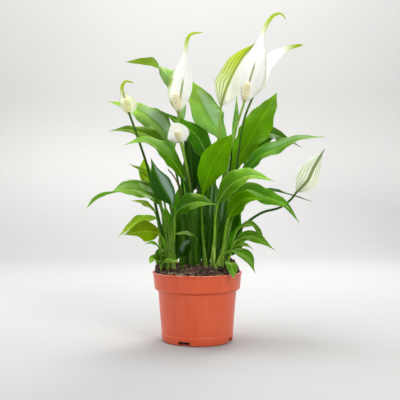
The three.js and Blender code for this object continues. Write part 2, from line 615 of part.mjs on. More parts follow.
const FLOWERS = [
  { name: 'tall_front', tone: 'light', colour: 'white', root: [22, -8],
    stalk: [[27, -13, 160], [34, -14, 215], [42, -14, 248], [51, -15, 280], [62, -18, 316]],
    spadix: { tip: [66, -24, 340], radius: 5.2 },
    spathe: { line: [[69, -9, 343], [76, -7, 366], [82, -9, 391], [89, -12, 413], [100, -14, 428],
      [110, -15, 430], [116, -16, 423]],
      width: 38, face: [0.35, -1, 0.2], cup: 0.7 } },
  { name: 'behind_right', tone: 'dark', colour: 'white', root: [32, 5],
    stalk: [[42, 1, 150], [50, -4, 205], [55, -4, 250], [63, -1, 295], [76, 6, 328]],
    spadix: { tip: [92, 3, 346], radius: 4.2 },
    spathe: { line: [[82, 12, 352], [91, 13, 371], [106, 13, 384], [126, 12, 393], [143, 12, 396]],
      width: 24, face: [0.5, -0.8, -0.4], cup: 0.9, body: 0.84, tail: 0.5 } },
  { name: 'tall_left', tone: 'light', colour: 'white', root: [-4, -2],
    stalk: [[-9, -4, 170], [-18, -6, 250], [-24, -9, 285], [-25, -11, 303]],
    spadix: { tip: [-29, -17, 327], radius: 5.4 },
    spathe: { line: [[-22, -4, 325], [-18, -3, 352], [-16, -4, 380], [-10, -6, 404], [7, -8, 408]],
      width: 36, face: [-0.3, -1, 0.1], cup: 0.8 } },
  { name: 'far_left', tone: 'dark', colour: 'green', root: [-34, -4],
    stalk: [[-43, -10, 130], [-56, -14, 185], [-64, -18, 225], [-77, -20, 266], [-89, -21, 300]],
    spadix: { tip: [-92, -27, 318], radius: 4.2 },
    spathe: { line: [[-91, -14, 311], [-96, -14, 322], [-99, -14, 334], [-94, -16, 341], [-83, -18, 339]],
      width: 25, face: [0.2, -1, 0.1], cup: 0.8, body: 0.55, tail: 0.34 } },
  { name: 'round_centre', tone: 'light', colour: 'white', root: [2, -12],
    stalk: [[-4, -17, 150], [-9, -22, 204], [-14, -24, 230], [-19, -26, 250], [-22, -29, 262]],
    spadix: { tip: [-26, -48, 273], radius: 4.2 },
    spathe: { line: [[-24, -25, 268], [-27, -27, 276], [-32, -31, 286]],
      width: 30, face: [0, -1, 0.2], cup: 0.6, body: 0.95 } },
  { name: 'right_edge', tone: 'dark', colour: 'green', root: [39, 1],
    stalk: [[48, -2, 130], [62, -3, 152], [86, -2, 169], [110, -1, 176], [124, -1, 186], [134, -2, 199]],
    spadix: { tip: [146, 3, 217], radius: 3.8 },
    spathe: { line: [[146, -6, 212], [153, -5, 226], [161, -3, 240], [170, 0, 254]],
      width: 34, face: [-0.1, 1, 0.1], cup: 0.9, body: 0.9 } },
  { name: 'upper_centre', tone: 'light', colour: 'green', root: [14, 2],
    stalk: [[20, 0, 170], [26, 0, 240], [29, 1, 280], [32, 3, 314]],
    spadix: { tip: [39, 9, 336], radius: 4.8 },
    spathe: { line: [[38, -4, 332], [48, -4, 355], [63, -1, 380], [78, 4, 397]],
      width: 40, face: [0.2, 1, 0.2], cup: 0.7, body: 0.95 } },
];

// The bare, dried stalk of a flower that is over.
const DRIED_STALK = {
  root: [-18, -14],
  points: [[-20, -17, 160], [-24, -20, 203], [-30, -21, 216], [-38, -22, 226]],
};

// ---------------------------------------------------------------- the whole plant

function holeOf([x, y], radius) {
  return { x, y, radius: radius + STEM.holeClearance };
}

const stems = [
  ...LEAVES.map(({ root }) => holeOf(root, LEAF.petioleFoot)),
  ...SPRIGS.map(({ root }) => holeOf(root, LEAF.petioleFoot)),
  ...FLOWERS.map(({ root }) => holeOf(root, STALK.foot)),
  holeOf(DRIED_STALK.root, STALK.foot),
];

const plant = new THREE.Group();
plant.add(meshOf('pot', potGeometry(), COLOURS.pot));
plant.add(meshOf('soil', soilGeometry(stems), COLOURS.peat));
for (const leaf of LEAVES) plant.add(meshOf(leaf.name, leafGeometry(leaf), GREEN[leaf.tone]));
for (const sprig of SPRIGS) plant.add(meshOf(sprig.name, sprigGeometry(sprig), GREEN[sprig.tone]));
for (const { name, root, stalk, spathe, spadix, tone, colour } of FLOWERS) {
  const seat = stalkTop(root, stalk);
  plant.add(meshOf(`stalk_${name}`, stalkGeometry(root, stalk), COLOURS.stalk[tone]));
  plant.add(meshOf(`spathe_${name}`, spatheGeometry(seat, spathe), COLOURS.spathe[colour]));
  plant.add(meshOf(`spadix_${name}`, spadixGeometry(seat, spadix), COLOURS.spadix));
}
const driedStalk = stalkGeometry(DRIED_STALK.root, DRIED_STALK.points, STALK.driedTop);
plant.add(meshOf('stalk_dried', driedStalk, COLOURS.driedStalk));

export default plant;
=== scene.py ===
"""Looks of the potted peace lily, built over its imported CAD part.

Lines, widths and radii are in millimetres in the part's own frame, and each mesh is put into Blender in
metres. The key points of leaves, stalks and flowers are those of the solids that the fine pieces replace.
"""

import json
import math
import random
from types import SimpleNamespace

import bmesh
import bpy
import numpy as np
from mathutils import Matrix, Vector, noise


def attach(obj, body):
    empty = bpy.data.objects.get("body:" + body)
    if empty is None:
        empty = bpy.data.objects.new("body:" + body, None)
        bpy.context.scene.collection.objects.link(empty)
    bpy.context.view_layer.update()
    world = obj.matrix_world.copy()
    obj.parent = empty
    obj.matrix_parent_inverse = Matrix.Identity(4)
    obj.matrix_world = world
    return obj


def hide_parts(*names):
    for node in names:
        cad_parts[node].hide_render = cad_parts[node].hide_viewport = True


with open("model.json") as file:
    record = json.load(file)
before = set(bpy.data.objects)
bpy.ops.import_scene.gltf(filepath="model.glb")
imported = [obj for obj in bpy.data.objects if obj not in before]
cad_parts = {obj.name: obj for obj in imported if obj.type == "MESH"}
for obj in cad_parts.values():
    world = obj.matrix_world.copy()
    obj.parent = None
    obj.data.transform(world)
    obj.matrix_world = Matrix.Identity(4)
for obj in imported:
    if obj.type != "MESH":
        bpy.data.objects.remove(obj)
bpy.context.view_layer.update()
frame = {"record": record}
MM = 0.001

# ---- dimensions of the solids, in mm

POT = dict(lip=60, lip_height=91, lip_thickness=2.4, overhang=1.2, band_foot=56.8, band_height=68,
           step=52.3, wall_top=66, foot=47, bevel=1.5, wall=1.6, floor=2)
NOTCH = dict(count=4, width=16, height=6, depth=9, first=-111)
SOIL = dict(rim=88, crown=99, lump=1.6)
# The peat's mounds: where, how high and how wide.
MOUNDS = [(41, 16, 13, 18), (-48, 6, 11, 17)]
# A stem's line starts at its collar, just over the peat, and its foot is sunk in the peat.
STEM = dict(collar=1.5, sunk=6)
STALK = dict(foot=2, top=1.5)
SEAT = dict(clearance=0.3, clasp=3)
# What a leaf or a spathe has where its own row says nothing else.
LEAF = dict(thickness=0.7, ridge=0.9, belly=0.8, taper=0.5, fold=0.2, sheath=0.8, petiole=0.5, painted_sheen=None)
SPATHE = dict(thickness=0.7, body=0.64, tail=0.24, power=0.9, frill=0.02, lift=0.035)

# ---- finer forms, which only the looks have, in mm

# A petiole swells to a knee below the blade, and a channel runs down its upper side.
PETIOLE = dict(foot=1.9, neck=1.25, knee=0.25, knee_below=9, knee_spread=4, channel=0.35, channel_width=0.35)
# Side veins: how far apart they leave the midrib, and how they run forward and curve.
VEIN = dict(gap=10, slant=1.9, curve=0.03, fine_gap=2.5)
MIDRIB = dict(groove=0.5, groove_width=0.9, ridge_width=1)
# A blade swells between its side veins, and ripples along its length.
QUILT = 0.4
RIPPLE = dict(height=0.06, span=17, left=2.6, right=0.8)
# Waves along a blade's edges: their height as a share of the half width, their length, how far the leaf's
# own phase shifts them, and how far the two halves differ.
WAVES = dict(short_lobes=(0.035, 4.3, 1, 1), long_lobes=(0.05, 8.7, 1.7, -1),
             short_frill=(0.04, 2.9, 1, 2), long_frill=(0.09, 7.3, 2.3, 1.4))
STALK_FOOT = 0.6
SPATHE_RIBS = dict(height=0.12, turns=26)
# Waves along a spathe's edges: their length, and how far the two halves differ.
SPATHE_WAVES = dict(lift=(5.5, 1.7), frill=(6.1, 2.6))
KEEL = dict(height=0.5, width=0.8)
FLORETS = dict(row=2.6, around=10, valley=0.84, height=0.24, steep=3.4)
# A line moulded round the pot's wall.
POT_MARK = dict(height=10.5, out=0.1, back=0.25, drop=0.5)
ROUNDING = 0.7
# Lumps of peat: waves a mm, height, and where the noise is read.
LUMPS = [(0.16, 1.5, (0, 0)), (0.42, 3.2, (7, 3)), (1.3, 0.8, (1, 9))]
LUMPS_LOWERED = 0.9
# The peat's side: its gap to the pot at the rim, how far it stands in from the pot's outer face below that,
# and the heights where it turns.
PLUG = dict(gap=0.5, inset=2.4, band=80, step=74, wall=60, foot=3)
# Loose crumbs, most of them small. Every so many is a pale chip near the rim at the front left.
CRUMBS = dict(count=2200, seed=11, smallest=0.5, growth=2.0, stretch=[(0.7, 1.5), (0.7, 1.2), (0.5, 0.9)],
              rough=(0.72, 1.2), tilt=0.6, rim=2, lift=0.3, chip_each=24, chip_azimuth=-112,
              chip_spread=0.3, chip_reach=(0.88, 1), chip_size=(0.5, 1.0), chip_shade=2.0)

# Angles in degrees from which an edge is drawn sharp.
CREASE = dict(plant=55, florets=80, pot=40, crumbs=30, none=180)

# How finely the pieces are drawn. The cells across a blade crowd together at its midrib.
FINE = dict(petiole_rings=26, blade_rings=90, blade_cells=18, sprig_cells=10, crowding=1.4, stalk_rings=48,
            stalk_sides=14, spathe_rings=72, spathe_cells=20, spadix_rings=80, spadix_sides=72,
            pot_segments=144, corner_steps=4, soil_rings=64, soil_segments=168)

# ---- key points, as in the solids

# A leaf's tone and petiole scale the brightness of its blade and of its petiole: painted light and shade for
# how much light reaches them. A leaf may also carry a painted sheen: a pale patch of painted reflection,
# given by the half it lies on, where it starts and ends along the blade, and its strength.
LEAVES = {
    # Leaves to the left, from the top down.
    "top_left": dict(
        root=(-12, 20), stem=[(-14, 22, 190)],
        blade=[(-20, 28, 290), (-36, 35, 354), (-61, 46, 378), (-103, 60, 383)],
        width=32, face=(0.3, -0.7, 0.7), tip_face=(0, 0.9, 0.8), belly=0.9, taper=0.25,
        tone=1.9, painted_sheen=(1, 0.1, 0.4, 0.4), look="faded"),
    "upper_left": dict(
        root=(-14, 10), stem=[(-17, 11, 170)],
        blade=[(-30, 12, 252), (-58, 20, 292), (-90, 30, 313), (-126, 40, 324)],
        width=42, face=(0.2, -0.7, 0.8), belly=0.9, taper=0.35,
        fold=0.28, tone=1.6, painted_sheen=(1, 0.2, 0.6, 0.45), look="pale"),
    "mid_left": dict(
        root=(-12, 0), stem=[(-20, 0, 180)],
        blade=[(-38, -2, 248), (-62, -6, 270), (-89, -8, 279), (-117, -10, 277)],
        width=25, face=(0, -0.7, 0.75),
        tone=1.7, look="olive"),
    "left_arch": dict(
        root=(-8, -12), stem=[(-10, -15, 160)],
        blade=[(-17, -18, 211), (-41, -33, 246), (-66, -47, 261), (-91, -62, 254)],
        width=29, face=(0, -0.7, 0.75),
        fold=0.28, tone=1.4, painted_sheen=(1, 0.35, 0.9, 0.55), look="fresh"),
    "left_narrow": dict(
        root=(-32, 6), stem=[(-39, 4, 150)],
        blade=[(-50, 0, 203), (-68, -2, 222), (-91, -4, 234)],
        width=14, face=(0.2, -0.7, 0.7),
        tone=1.8, petiole=1.0, look="lime"),
    "left_back": dict(
        root=(-36, 14), stem=[(-44, 18, 150)],
        blade=[(-55, 22, 190), (-70, 34, 216), (-76, 54, 245)],
        width=24, face=(0.5, -0.7, 0.3), belly=1.1, taper=0.1,
        tone=1.9, petiole=0.7, look="lime"),
    "left_short": dict(
        root=(-40, 0), stem=[(-45, 1, 150)],
        blade=[(-52, -4, 192), (-72, -7, 207), (-92, -8, 213)],
        width=16, face=(0, -0.6, 0.9),
        tone=1.4, petiole=1.0, look="mid"),
    "left_front": dict(
        root=(-32, -20), stem=[(-33, -25, 140)],
        blade=[(-32, -30, 178), (-47, -43, 208), (-58, -56, 239)],
        width=27, face=(-0.3, -0.9, 0.4),
        tone=3.3, petiole=0.9, painted_sheen=(1, 0.05, 0.85, 1.0), look="deep"),
    "far_left": dict(
        root=(-36, -13), stem=[(-40, -16, 140)],
        blade=[(-48, -22, 180), (-79, -45, 199), (-109, -58, 194), (-125, -65, 188), (-136, -72, 175)],
        width=30, face=(0, -0.7, 0.8), tip_face=(0, 0.7, 0.6), belly=0.6, taper=0.3,
        tone=1.3, petiole=0.9, painted_sheen=(1, 0.3, 0.7, 0.4), look="fresh"),
    "left_narrow_low": dict(
        root=(-46, -2), stem=[(-50, -3, 140)],
        blade=[(-56, -5, 170), (-71, -9, 182), (-87, -12, 185)],
        width=14, face=(0, -0.5, 1),
        tone=1.8, petiole=1.0, look="lime"),
    "low_left": dict(
        root=(-44, 8), stem=[(-48, 7, 135)],
        blade=[(-53, 4, 160), (-77, -5, 158), (-104, -16, 138)],
        width=22, face=(-0.2, -0.6, 0.9),
        tone=1.6, petiole=0.8, look="lime"),
    "low_left_broad": dict(
        root=(-38, -21), stem=[(-41, -24, 124)],
        blade=[(-48, -26, 141), (-69, -42, 146), (-92, -60, 143)],
        width=27, face=(-0.2, -1, 0.3),
        tone=1.4, petiole=1.1, look="lime"),
    # Leaves of the middle crown.
    "top_centre": dict(
        root=(20, 14), stem=[(30, 15, 180)],
        blade=[(39, 14, 256), (13, 28, 303), (-9, 48, 355)],
        width=46, face=(0.3, -0.85, 0.4), belly=1.1, taper=0.1,
        tone=1.8, painted_sheen=(1, 0.3, 0.8, 0.6), look="pale"),
    "upright": dict(
        root=(27, 18), stem=[(38, 20, 170)],
        blade=[(48, 25, 259), (53, 28, 301), (54, 28, 337)],
        width=8, face=(0.4, -1, 0.2),
        tone=3.6, look="grey"),
    "centre_arch": dict(
        root=(8, 8), stem=[(14, 8, 170)],
        blade=[(17, 8, 230), (0, 14, 272), (-50, 28, 309)],
        width=27, face=(-0.4, -0.5, 0.7),
        tone=1.9, look="glossy"),
    "inner_left": dict(
        root=(0, 4), stem=[(-4, 2, 150)],
        blade=[(-6, 1, 196), (-8, 3, 236), (-12, 3, 270)],
        width=24, face=(0.2, -1, 0.1),
        tone=1.6, look="deep"),
    "front_centre": dict(
        root=(11, -18), stem=[(7, -30, 145)],
        blade=[(7, -40, 192), (20, -52, 232), (44, -64, 268)],
        width=36, face=(0.3, -1, 0.3), belly=1.1, taper=0.1,
        tone=1.45, petiole=0.7, look="sunlit"),
    "front_level": dict(
        root=(-30, -28), stem=[(-29, -36, 145)],
        blade=[(-26, -42, 170), (-4, -54, 183), (25, -74, 180)],
        width=28, face=(0, -0.8, 0.6), belly=0.7,
        tone=1.9, petiole=0.9, look="glossy"),
    "front_small": dict(
        root=(-2, -22), stem=[(-3, -36, 122)],
        blade=[(0, -46, 137), (-12, -58, 144), (-29, -70, 144)],
        width=13, face=(0, -0.6, 1),
        tone=0.8, petiole=0.5, look="fresh"),
    "front_low": dict(
        root=(-20, -30), stem=[(-20, -38, 108)],
        blade=[(-19, -44, 113), (-15, -50, 128), (-4, -54, 138)],
        width=20, face=(0.6, -0.7, 0.4),
        tone=1.4, petiole=0.5, painted_sheen=(-1, 0.3, 0.8, 0.3), look="deep"),
    # Leaves to the right, from the top down.
    "tall_right": dict(
        root=(27, 3), stem=[(35, 3, 160)],
        blade=[(45, 4, 216), (78, 18, 279), (111, 40, 336)],
        width=47, face=(-0.4, -0.8, 0.5), belly=1.1, taper=0.05,
        tone=1.15, look="sunlit"),
    "behind_right": dict(
        root=(34, 20), stem=[(48, 23, 165)],
        blade=[(64, 26, 232), (96, 42, 278), (123, 58, 274), (151, 76, 262)],
        width=32, face=(0.1, -0.75, 0.65),
        tone=0.8, look="mid"),
    "long_right": dict(
        root=(28, -9), stem=[(42, -14, 150), (54, -20, 190)],
        blade=[(60, -25, 216), (80, -37, 242), (105, -48, 253), (128, -60, 262), (155, -76, 263)],
        width=29, face=(0.1, -0.65, 0.75),
        fold=0.28, tone=1.5, petiole=0.8, painted_sheen=(-1, 0.4, 0.85, 0.6), look="mid"),
    "front_arch": dict(
        root=(20, -18), stem=[(22, -32, 135)],
        blade=[(26, -45, 180), (44, -56, 206), (66, -66, 216), (93, -80, 209)],
        width=36, face=(0, -0.7, 0.8),
        sheath=2.2, tone=1.7, petiole=1.2, look="fresh"),
    "right_level": dict(
        root=(34, 12), stem=[(43, 10, 145)],
        blade=[(55, 8, 187), (81, 18, 200), (114, 30, 197), (160, 42, 184)],
        width=23, face=(0, -0.05, 1),
        tone=1.2, petiole=0.8, look="grey"),
    "right_droop": dict(
        root=(34, -4), stem=[(39, -7, 140)],
        blade=[(45, -9, 174), (65, -10, 199), (88, -12, 191), (113, -14, 181), (134, -16, 156)],
        width=27, face=(0.1, -0.75, 0.65),
        sheath=1.4, tone=1.6, petiole=1.0, painted_sheen=(1, 0.1, 0.4, 0.6), look="mid"),
    "right_inner": dict(
        root=(31, -18), stem=[(35, -22, 135)],
        blade=[(41, -27, 163), (59, -41, 187), (82, -58, 187)],
        width=25, face=(-0.1, -0.9, 0.4),
        sheath=1.6, tone=1.6, petiole=1.2, look="sunlit"),
    "right_rim": dict(
        root=(24, -26), stem=[(30, -33, 113)],
        blade=[(44, -38, 121), (62, -45, 115), (73, -50, 94)],
        width=17, face=(0.4, -0.8, 0.6),
        tone=1.1, petiole=1.0, painted_sheen=(1, 0.3, 0.7, 0.35), look="fresh"),
    # Leaves that lean to the back.
    "back_left": dict(
        root=(-30, 24), stem=[(-34, 34, 150)],
        blade=[(-40, 50, 182), (-58, 76, 206), (-78, 104, 208)],
        width=38, face=(0.4, -0.3, 0.9),
        tone=1.6, look="deep"),
    "back_centre": dict(
        root=(0, 28), stem=[(-1, 42, 160)],
        blade=[(2, 56, 196), (-2, 78, 262), (-12, 112, 300)],
        width=42, face=(0.1, -0.7, 0.6), belly=0.7, taper=0.3,
        tone=1.3, look="deep"),
    "back_right": dict(
        root=(24, 28), stem=[(30, 42, 160)],
        blade=[(40, 62, 215), (62, 92, 245), (88, 122, 240)],
        width=36, face=(-0.3, -0.4, 0.9),
        tone=1.0, look="mid"),
}


def sprig(*leaves, **shared):
    """The leaves of one shoot, with the values that they share."""
    return [shared | leaf for leaf in leaves]


SPRIGS = {
    "low_leaves_left": sprig(
        dict(stem=[(-27, 43, 98)], blade=[(-29, 44, 101), (-37, 50, 140), (-48, 66, 182)],
             width=40, face=(0.1, -0.9, 0.3), belly=0.5, tone=2.8),
        dict(stem=[(-22, 44, 98)], blade=[(-21, 45, 101), (-20, 52, 150), (-20, 68, 205)],
             width=38, face=(0, -0.9, 0.3), belly=0.5, tone=1.8),
        dict(stem=[(-22, 46, 120)], blade=[(-21, 49, 130), (-19, 62, 180), (-19, 82, 226)],
             width=34, face=(0, -0.9, 0.3), belly=0.9, tone=3.4, painted_sheen=(1, 0.3, 0.95, 0.8)),
        root=(-24, 40), petiole=0.7, look="glossy"),
    "low_leaves_back": sprig(
        dict(stem=[(6, 48, 98)], blade=[(4, 50, 101), (5, 62, 155), (5, 82, 210)],
             width=42, face=(0, -0.9, 0.3), belly=0.5, tone=1.4),
        dict(stem=[(11, 47, 98)], blade=[(14, 48, 101), (26, 54, 146), (33, 70, 196)],
             width=38, face=(-0.1, -0.9, 0.3), belly=0.5, tone=2.3),
        dict(stem=[(9, 49, 120)], blade=[(11, 52, 130), (15, 66, 182), (16, 86, 236)],
             width=40, face=(0, -0.9, 0.3), belly=0.9, tone=1.9, painted_sheen=(1, 0.3, 0.95, 0.9)),
        root=(8, 44), look="glossy"),
    "low_leaves_right": sprig(
        dict(stem=[(37, 37, 106)], blade=[(39, 38, 109), (49, 45, 143), (64, 60, 176)],
             width=38, face=(-0.2, -0.9, 0.3), belly=0.5, tone=2.9),
        dict(stem=[(36, 38, 120)], blade=[(37, 40, 130), (44, 52, 172), (50, 70, 212)],
             width=38, face=(-0.1, -0.9, 0.3), belly=0.9, tone=1.8, painted_sheen=(-1, 0.3, 0.95, 0.8)),
        dict(stem=[(40, 34, 106)], blade=[(44, 33, 109), (57, 33, 124), (70, 33, 134)],
             width=18, face=(-0.1, -0.8, 0.6), belly=0.8, tone=2.4),
        root=(34, 34), petiole=0.8, look="glossy"),
    "young_leaves_left": sprig(
        dict(stem=[(-48, -16, 116)], blade=[(-50, -17, 124), (-58, -21, 130), (-68, -24, 129)],
             width=7, face=(0, -0.6, 1), tone=1.4),
        dict(stem=[(-48, -18, 102)], blade=[(-50, -20, 105), (-57, -28, 110), (-61, -36, 104)],
             width=14, face=(-0.2, -0.8, 0.6), belly=0.6, taper=0.2, tone=1.8),
        dict(stem=[(-46, -20, 102)], blade=[(-45, -25, 105), (-37, -36, 111), (-23, -46, 107)],
             width=17, face=(0.1, -0.8, 0.6), belly=0.7, taper=0.2, tone=1.4),
        dict(stem=[(-46, -18, 104)], blade=[(-47, -20, 107), (-48, -28, 118), (-42, -37, 122)],
             width=13, face=(0, -0.9, 0.5), belly=0.7, taper=0.2, tone=1.3),
        root=(-46, -14), petiole=1.0, look="fresh"),
    "young_leaves_right": sprig(
        dict(stem=[(46, -12, 130)], blade=[(54, -14, 148), (71, -14, 154), (91, -13, 129)],
             width=14, face=(0.1, -0.5, 1), tone=1.2),
        dict(stem=[(44, -16, 120)], blade=[(50, -19, 132), (70, -23, 139), (101, -28, 121)],
             width=18, face=(0.1, -0.8, 0.8), tone=1.15),
        dict(stem=[(43, -19, 115)], blade=[(46, -24, 124), (59, -31, 129), (72, -36, 123)],
             width=8, face=(0, -0.6, 1), tone=1.0),
        dict(stem=[(41, -22, 103)], blade=[(41, -30, 106), (43, -44, 104), (46, -53, 87)],
             width=15, face=(0.2, -0.8, 0.5), belly=0.9, taper=0.1, tone=1.25),
        root=(39, -10), petiole=1.1, look="fresh"),
}

FLOWERS = {
    "tall_front": dict(
        root=(22, -8), tone="light",
        stalk=[(27, -13, 160), (34, -14, 215), (42, -14, 248), (51, -15, 280), (62, -18, 316)],
        spadix=dict(tip=(66, -24, 340), radius=5.2),
        spathe=dict(line=[(69, -9, 343), (76, -7, 366), (82, -9, 391), (89, -12, 413), (100, -14, 428),
                          (110, -15, 430), (116, -16, 423)],
                    width=38, face=(0.35, -1, 0.2), cup=0.7, tail=0.32)),
    "behind_right": dict(
        root=(32, 5), tone="dark", spike="pale",
        stalk=[(42, 1, 150), (50, -4, 205), (55, -4, 250), (63, -1, 295), (76, 6, 328)],
        spadix=dict(tip=(92, 3, 346), radius=4.2),
        spathe=dict(line=[(82, 12, 352), (91, 13, 371), (106, 13, 384), (126, 12, 393), (143, 12, 396)],
                    width=24, face=(0.5, -0.8, -0.4), cup=0.9, body=0.84, tail=0.75)),
    "tall_left": dict(
        root=(-4, -2), tone="light",
        stalk=[(-9, -4, 170), (-18, -6, 250), (-24, -9, 285), (-25, -11, 303)],
        spadix=dict(tip=(-29, -17, 327), radius=5.4),
        spathe=dict(line=[(-22, -4, 325), (-18, -3, 352), (-16, -4, 380), (-10, -6, 404), (7, -8, 408)],
                    width=36, face=(-0.3, -1, 0.1), cup=0.8, tail=0.34)),
    "far_left": dict(
        root=(-34, -4), tone="dark", spike="lime",
        stalk=[(-43, -10, 130), (-56, -14, 185), (-64, -18, 225), (-77, -20, 266), (-89, -21, 300)],
        spadix=dict(tip=(-92, -27, 318), radius=4.2),
        spathe=dict(line=[(-91, -14, 311), (-96, -14, 322), (-99, -14, 334), (-94, -16, 341),
                          (-83, -18, 339)],
                    width=25, face=(0.2, -1, 0.1), cup=0.8, body=0.55, tail=0.34)),
    "round_centre": dict(
        root=(2, -12), tone="light",
        stalk=[(-4, -17, 150), (-9, -22, 204), (-14, -24, 230), (-19, -26, 250), (-22, -29, 262)],
        spadix=dict(tip=(-26, -48, 273), radius=4.2),
        spathe=dict(line=[(-24, -25, 268), (-27, -27, 276), (-32, -31, 286)],
                    width=30, face=(0, -1, 0.2), cup=0.6, body=0.95, power=0.6)),
    "right_edge": dict(
        root=(39, 1), tone="dark",
        stalk=[(48, -2, 130), (62, -3, 152), (86, -2, 169), (110, -1, 176), (124, -1, 186), (134, -2, 199)],
        spadix=dict(tip=(146, 3, 217), radius=3.8),
        spathe=dict(line=[(146, -6, 212), (153, -5, 226), (161, -3, 240), (170, 0, 254)],
                    width=34, face=(-0.1, 1, 0.1), cup=0.9, body=0.9)),
    "upper_centre": dict(
        root=(14, 2), tone="light",
        stalk=[(20, 0, 170), (26, 0, 240), (29, 1, 280), (32, 3, 314)],
        spadix=dict(tip=(39, 9, 336), radius=4.8),
        spathe=dict(line=[(38, -4, 332), (48, -4, 355), (63, -1, 380), (78, 4, 397)],
                    width=40, face=(0.2, 1, 0.2), cup=0.7, body=0.95, frill=0.07, lift=0.07)),
}

DRIED_STALK = dict(root=(-18, -14), top_radius=0.8,
                   points=[(-20, -17, 160), (-24, -20, 203), (-30, -21, 216), (-38, -22, 226)])

# ---- lines and sections


def smoothstep(value, low, high):
    share = np.clip((value - low) / (high - low), 0, 1)
    return share * share * (3 - 2 * share)


def unit(vectors):
    return vectors / np.linalg.norm(vectors, axis=-1, keepdims=True)


def across(direction, tangent):
    """What is left of `direction` across `tangent`, row by row, as unit vectors."""
    return unit(direction - np.sum(direction * tangent, axis=-1, keepdims=True) * tangent)


class Line:
    """A centripetal Catmull-Rom curve through `points`, read by share of its length."""

    STEPS = 40

    def __init__(self, points):
        points = np.array(points, float)
        ends = [2 * points[0] - points[1], *points, 2 * points[-1] - points[-2]]
        spans = [self.span(*ends[i:i + 4]) for i in range(len(points) - 1)]
        self.places = np.concatenate([*spans, points[-1:]])
        steps = np.linalg.norm(np.diff(self.places, axis=0), axis=1)
        self.lengths = np.concatenate([[0], np.cumsum(steps)])
        self.length = self.lengths[-1]

    def span(self, before, start, end, after):
        """Places from `start` to just short of `end`."""
        first, middle, last = (np.linalg.norm(b - a) ** 0.5
                               for a, b in ((before, start), (start, end), (end, after)))
        leave = (start - before) / first - (end - before) / (first + middle) + (end - start) / middle
        arrive = (end - start) / middle - (after - start) / (middle + last) + (after - end) / last
        leave, arrive = leave * middle, arrive * middle
        w = np.arange(self.STEPS)[:, None] / self.STEPS
        square = 3 * (end - start) - 2 * leave - arrive
        cube = 2 * (start - end) + leave + arrive
        return start + leave * w + square * w ** 2 + cube * w ** 3

    def at(self, share):
        wanted = np.clip(share, 0, 1) * self.length
        return np.stack([np.interp(wanted, self.lengths, self.places[:, i]) for i in range(3)], axis=-1)

    def tangent(self, share):
        reach = 0.004
        return unit(self.at(np.minimum(share + reach, 1)) - self.at(np.maximum(share - reach, 0)))

    def share_of(self, index):
        """Share of the length that lies below key point `index`."""
        return self.lengths[index * self.STEPS] / self.length


def soil_top(x, y):
    """Height of the peat in the solids."""
    edge = np.hypot(x, y) / POT["lip"]
    dome = SOIL["rim"] + (SOIL["crown"] - SOIL["rim"]) * (1 - edge ** 3)
    mounds = sum(height * np.exp(-((x - mid_x) ** 2 + (y - mid_y) ** 2) / spread ** 2)
                 for mid_x, mid_y, height, spread in MOUNDS)
    lumps = np.sin(x * 0.31 + 1.3) * np.cos(y * 0.27 - 0.6) + 0.7 * np.sin(x * 0.17 - y * 0.43)
    return dome + mounds + SOIL["lump"] * lumps * (1.1 - edge)


def stem_line(root, points):
    """The line of a stem from its collar through `points`."""
    return Line([(*root, soil_top(*root) + STEM["collar"]), *points])


def sunk_foot(root):
    return (*root, soil_top(*root) - STEM["sunk"])


def carried_down(normal, tangent, start):
    """Carries the normal of row `start` down a stem, so that nothing twists."""
    for i in range(start - 1, -1, -1):
        normal[i] = across(normal[i + 1], tangent[i])
    return normal


def section(cells):
    """Places across a flat section: over the upper face from -1 to 1, then back under it."""
    even = np.linspace(-1, 1, cells + 1)
    over = np.sign(even) * np.abs(even) ** FINE["crowding"]
    u = np.concatenate([over, over[::-1]])
    under = np.concatenate([np.zeros(cells + 1), np.ones(cells + 1)])
    return u, under


def circle(cells):
    """The same points round a unit circle, as (sideways, up)."""
    count = 2 * cells + 2
    angle = math.pi - (np.arange(count) + 0.5) / count * 2 * math.pi
    return np.cos(angle), np.sin(angle)


def rings_round(centre, side, normal, sideways, raised):
    """Rings of points, `sideways` and `raised` in mm from the places of a line."""
    return centre[:, None] + side[:, None] * sideways[..., None] + normal[:, None] * raised[..., None]


# ---- meshes


def piece_of(name, points, faces, marks=None, crease=CREASE["plant"]):
    """A smooth-shaded object from points in mm. `marks` are named vectors that materials read."""
    mesh = bpy.data.meshes.new(name)
    mesh.from_pydata((np.asarray(points) * MM).tolist(), [], faces)
    for label, values in (marks or {}).items():
        layer = mesh.attributes.new(label, "FLOAT_VECTOR", "POINT")
        layer.data.foreach_set("vector", np.asarray(values, np.float32).ravel())
    mesh.validate()
    mesh.shade_smooth()
    mesh.set_sharp_from_angle(angle=math.radians(crease))
    piece = bpy.data.objects.new(name, mesh)
    bpy.context.scene.collection.objects.link(piece)
    return piece


def mark(*values):
    """Three numbers for each point of a body."""
    return np.stack(np.broadcast_arrays(*values), -1)


def ring_faces(rings, count, first=0):
    """Quads between neighbouring rings of `count` points, which start at point `first`."""
    starts = range(first, first + (rings - 1) * count, count)
    return [(a + k, a + (k + 1) % count, a + count + (k + 1) % count, a + count + k)
            for a in starts for k in range(count)]


def sweep(name, rings, marks, crease=CREASE["plant"]):
    """A closed body through an array of rings (ring, point, xyz), whose second halves run back under."""
    count = rings.shape[1]
    faces = ring_faces(*rings.shape[:2])
    last = (len(rings) - 1) * count
    for k in range(count // 2 - 1):
        under = count - 1 - k
        faces.append((k, under, under - 1, k + 1))
        faces.append((last + under, last + k, last + k + 1, last + under - 1))
    flat = {label: values.reshape(-1, 3) for label, values in marks.items()}
    return piece_of(name, rings.reshape(-1, 3), faces, flat, crease)


def joined(name, pieces):
    """Joins pieces into one object named `name`."""
    bpy.ops.object.select_all(action="DESELECT")
    for piece in pieces:
        piece.select_set(True)
    bpy.context.view_layer.objects.active = pieces[0]
    bpy.ops.object.join()
    pieces[0].name = name
    return pieces[0]


# ---- leaves


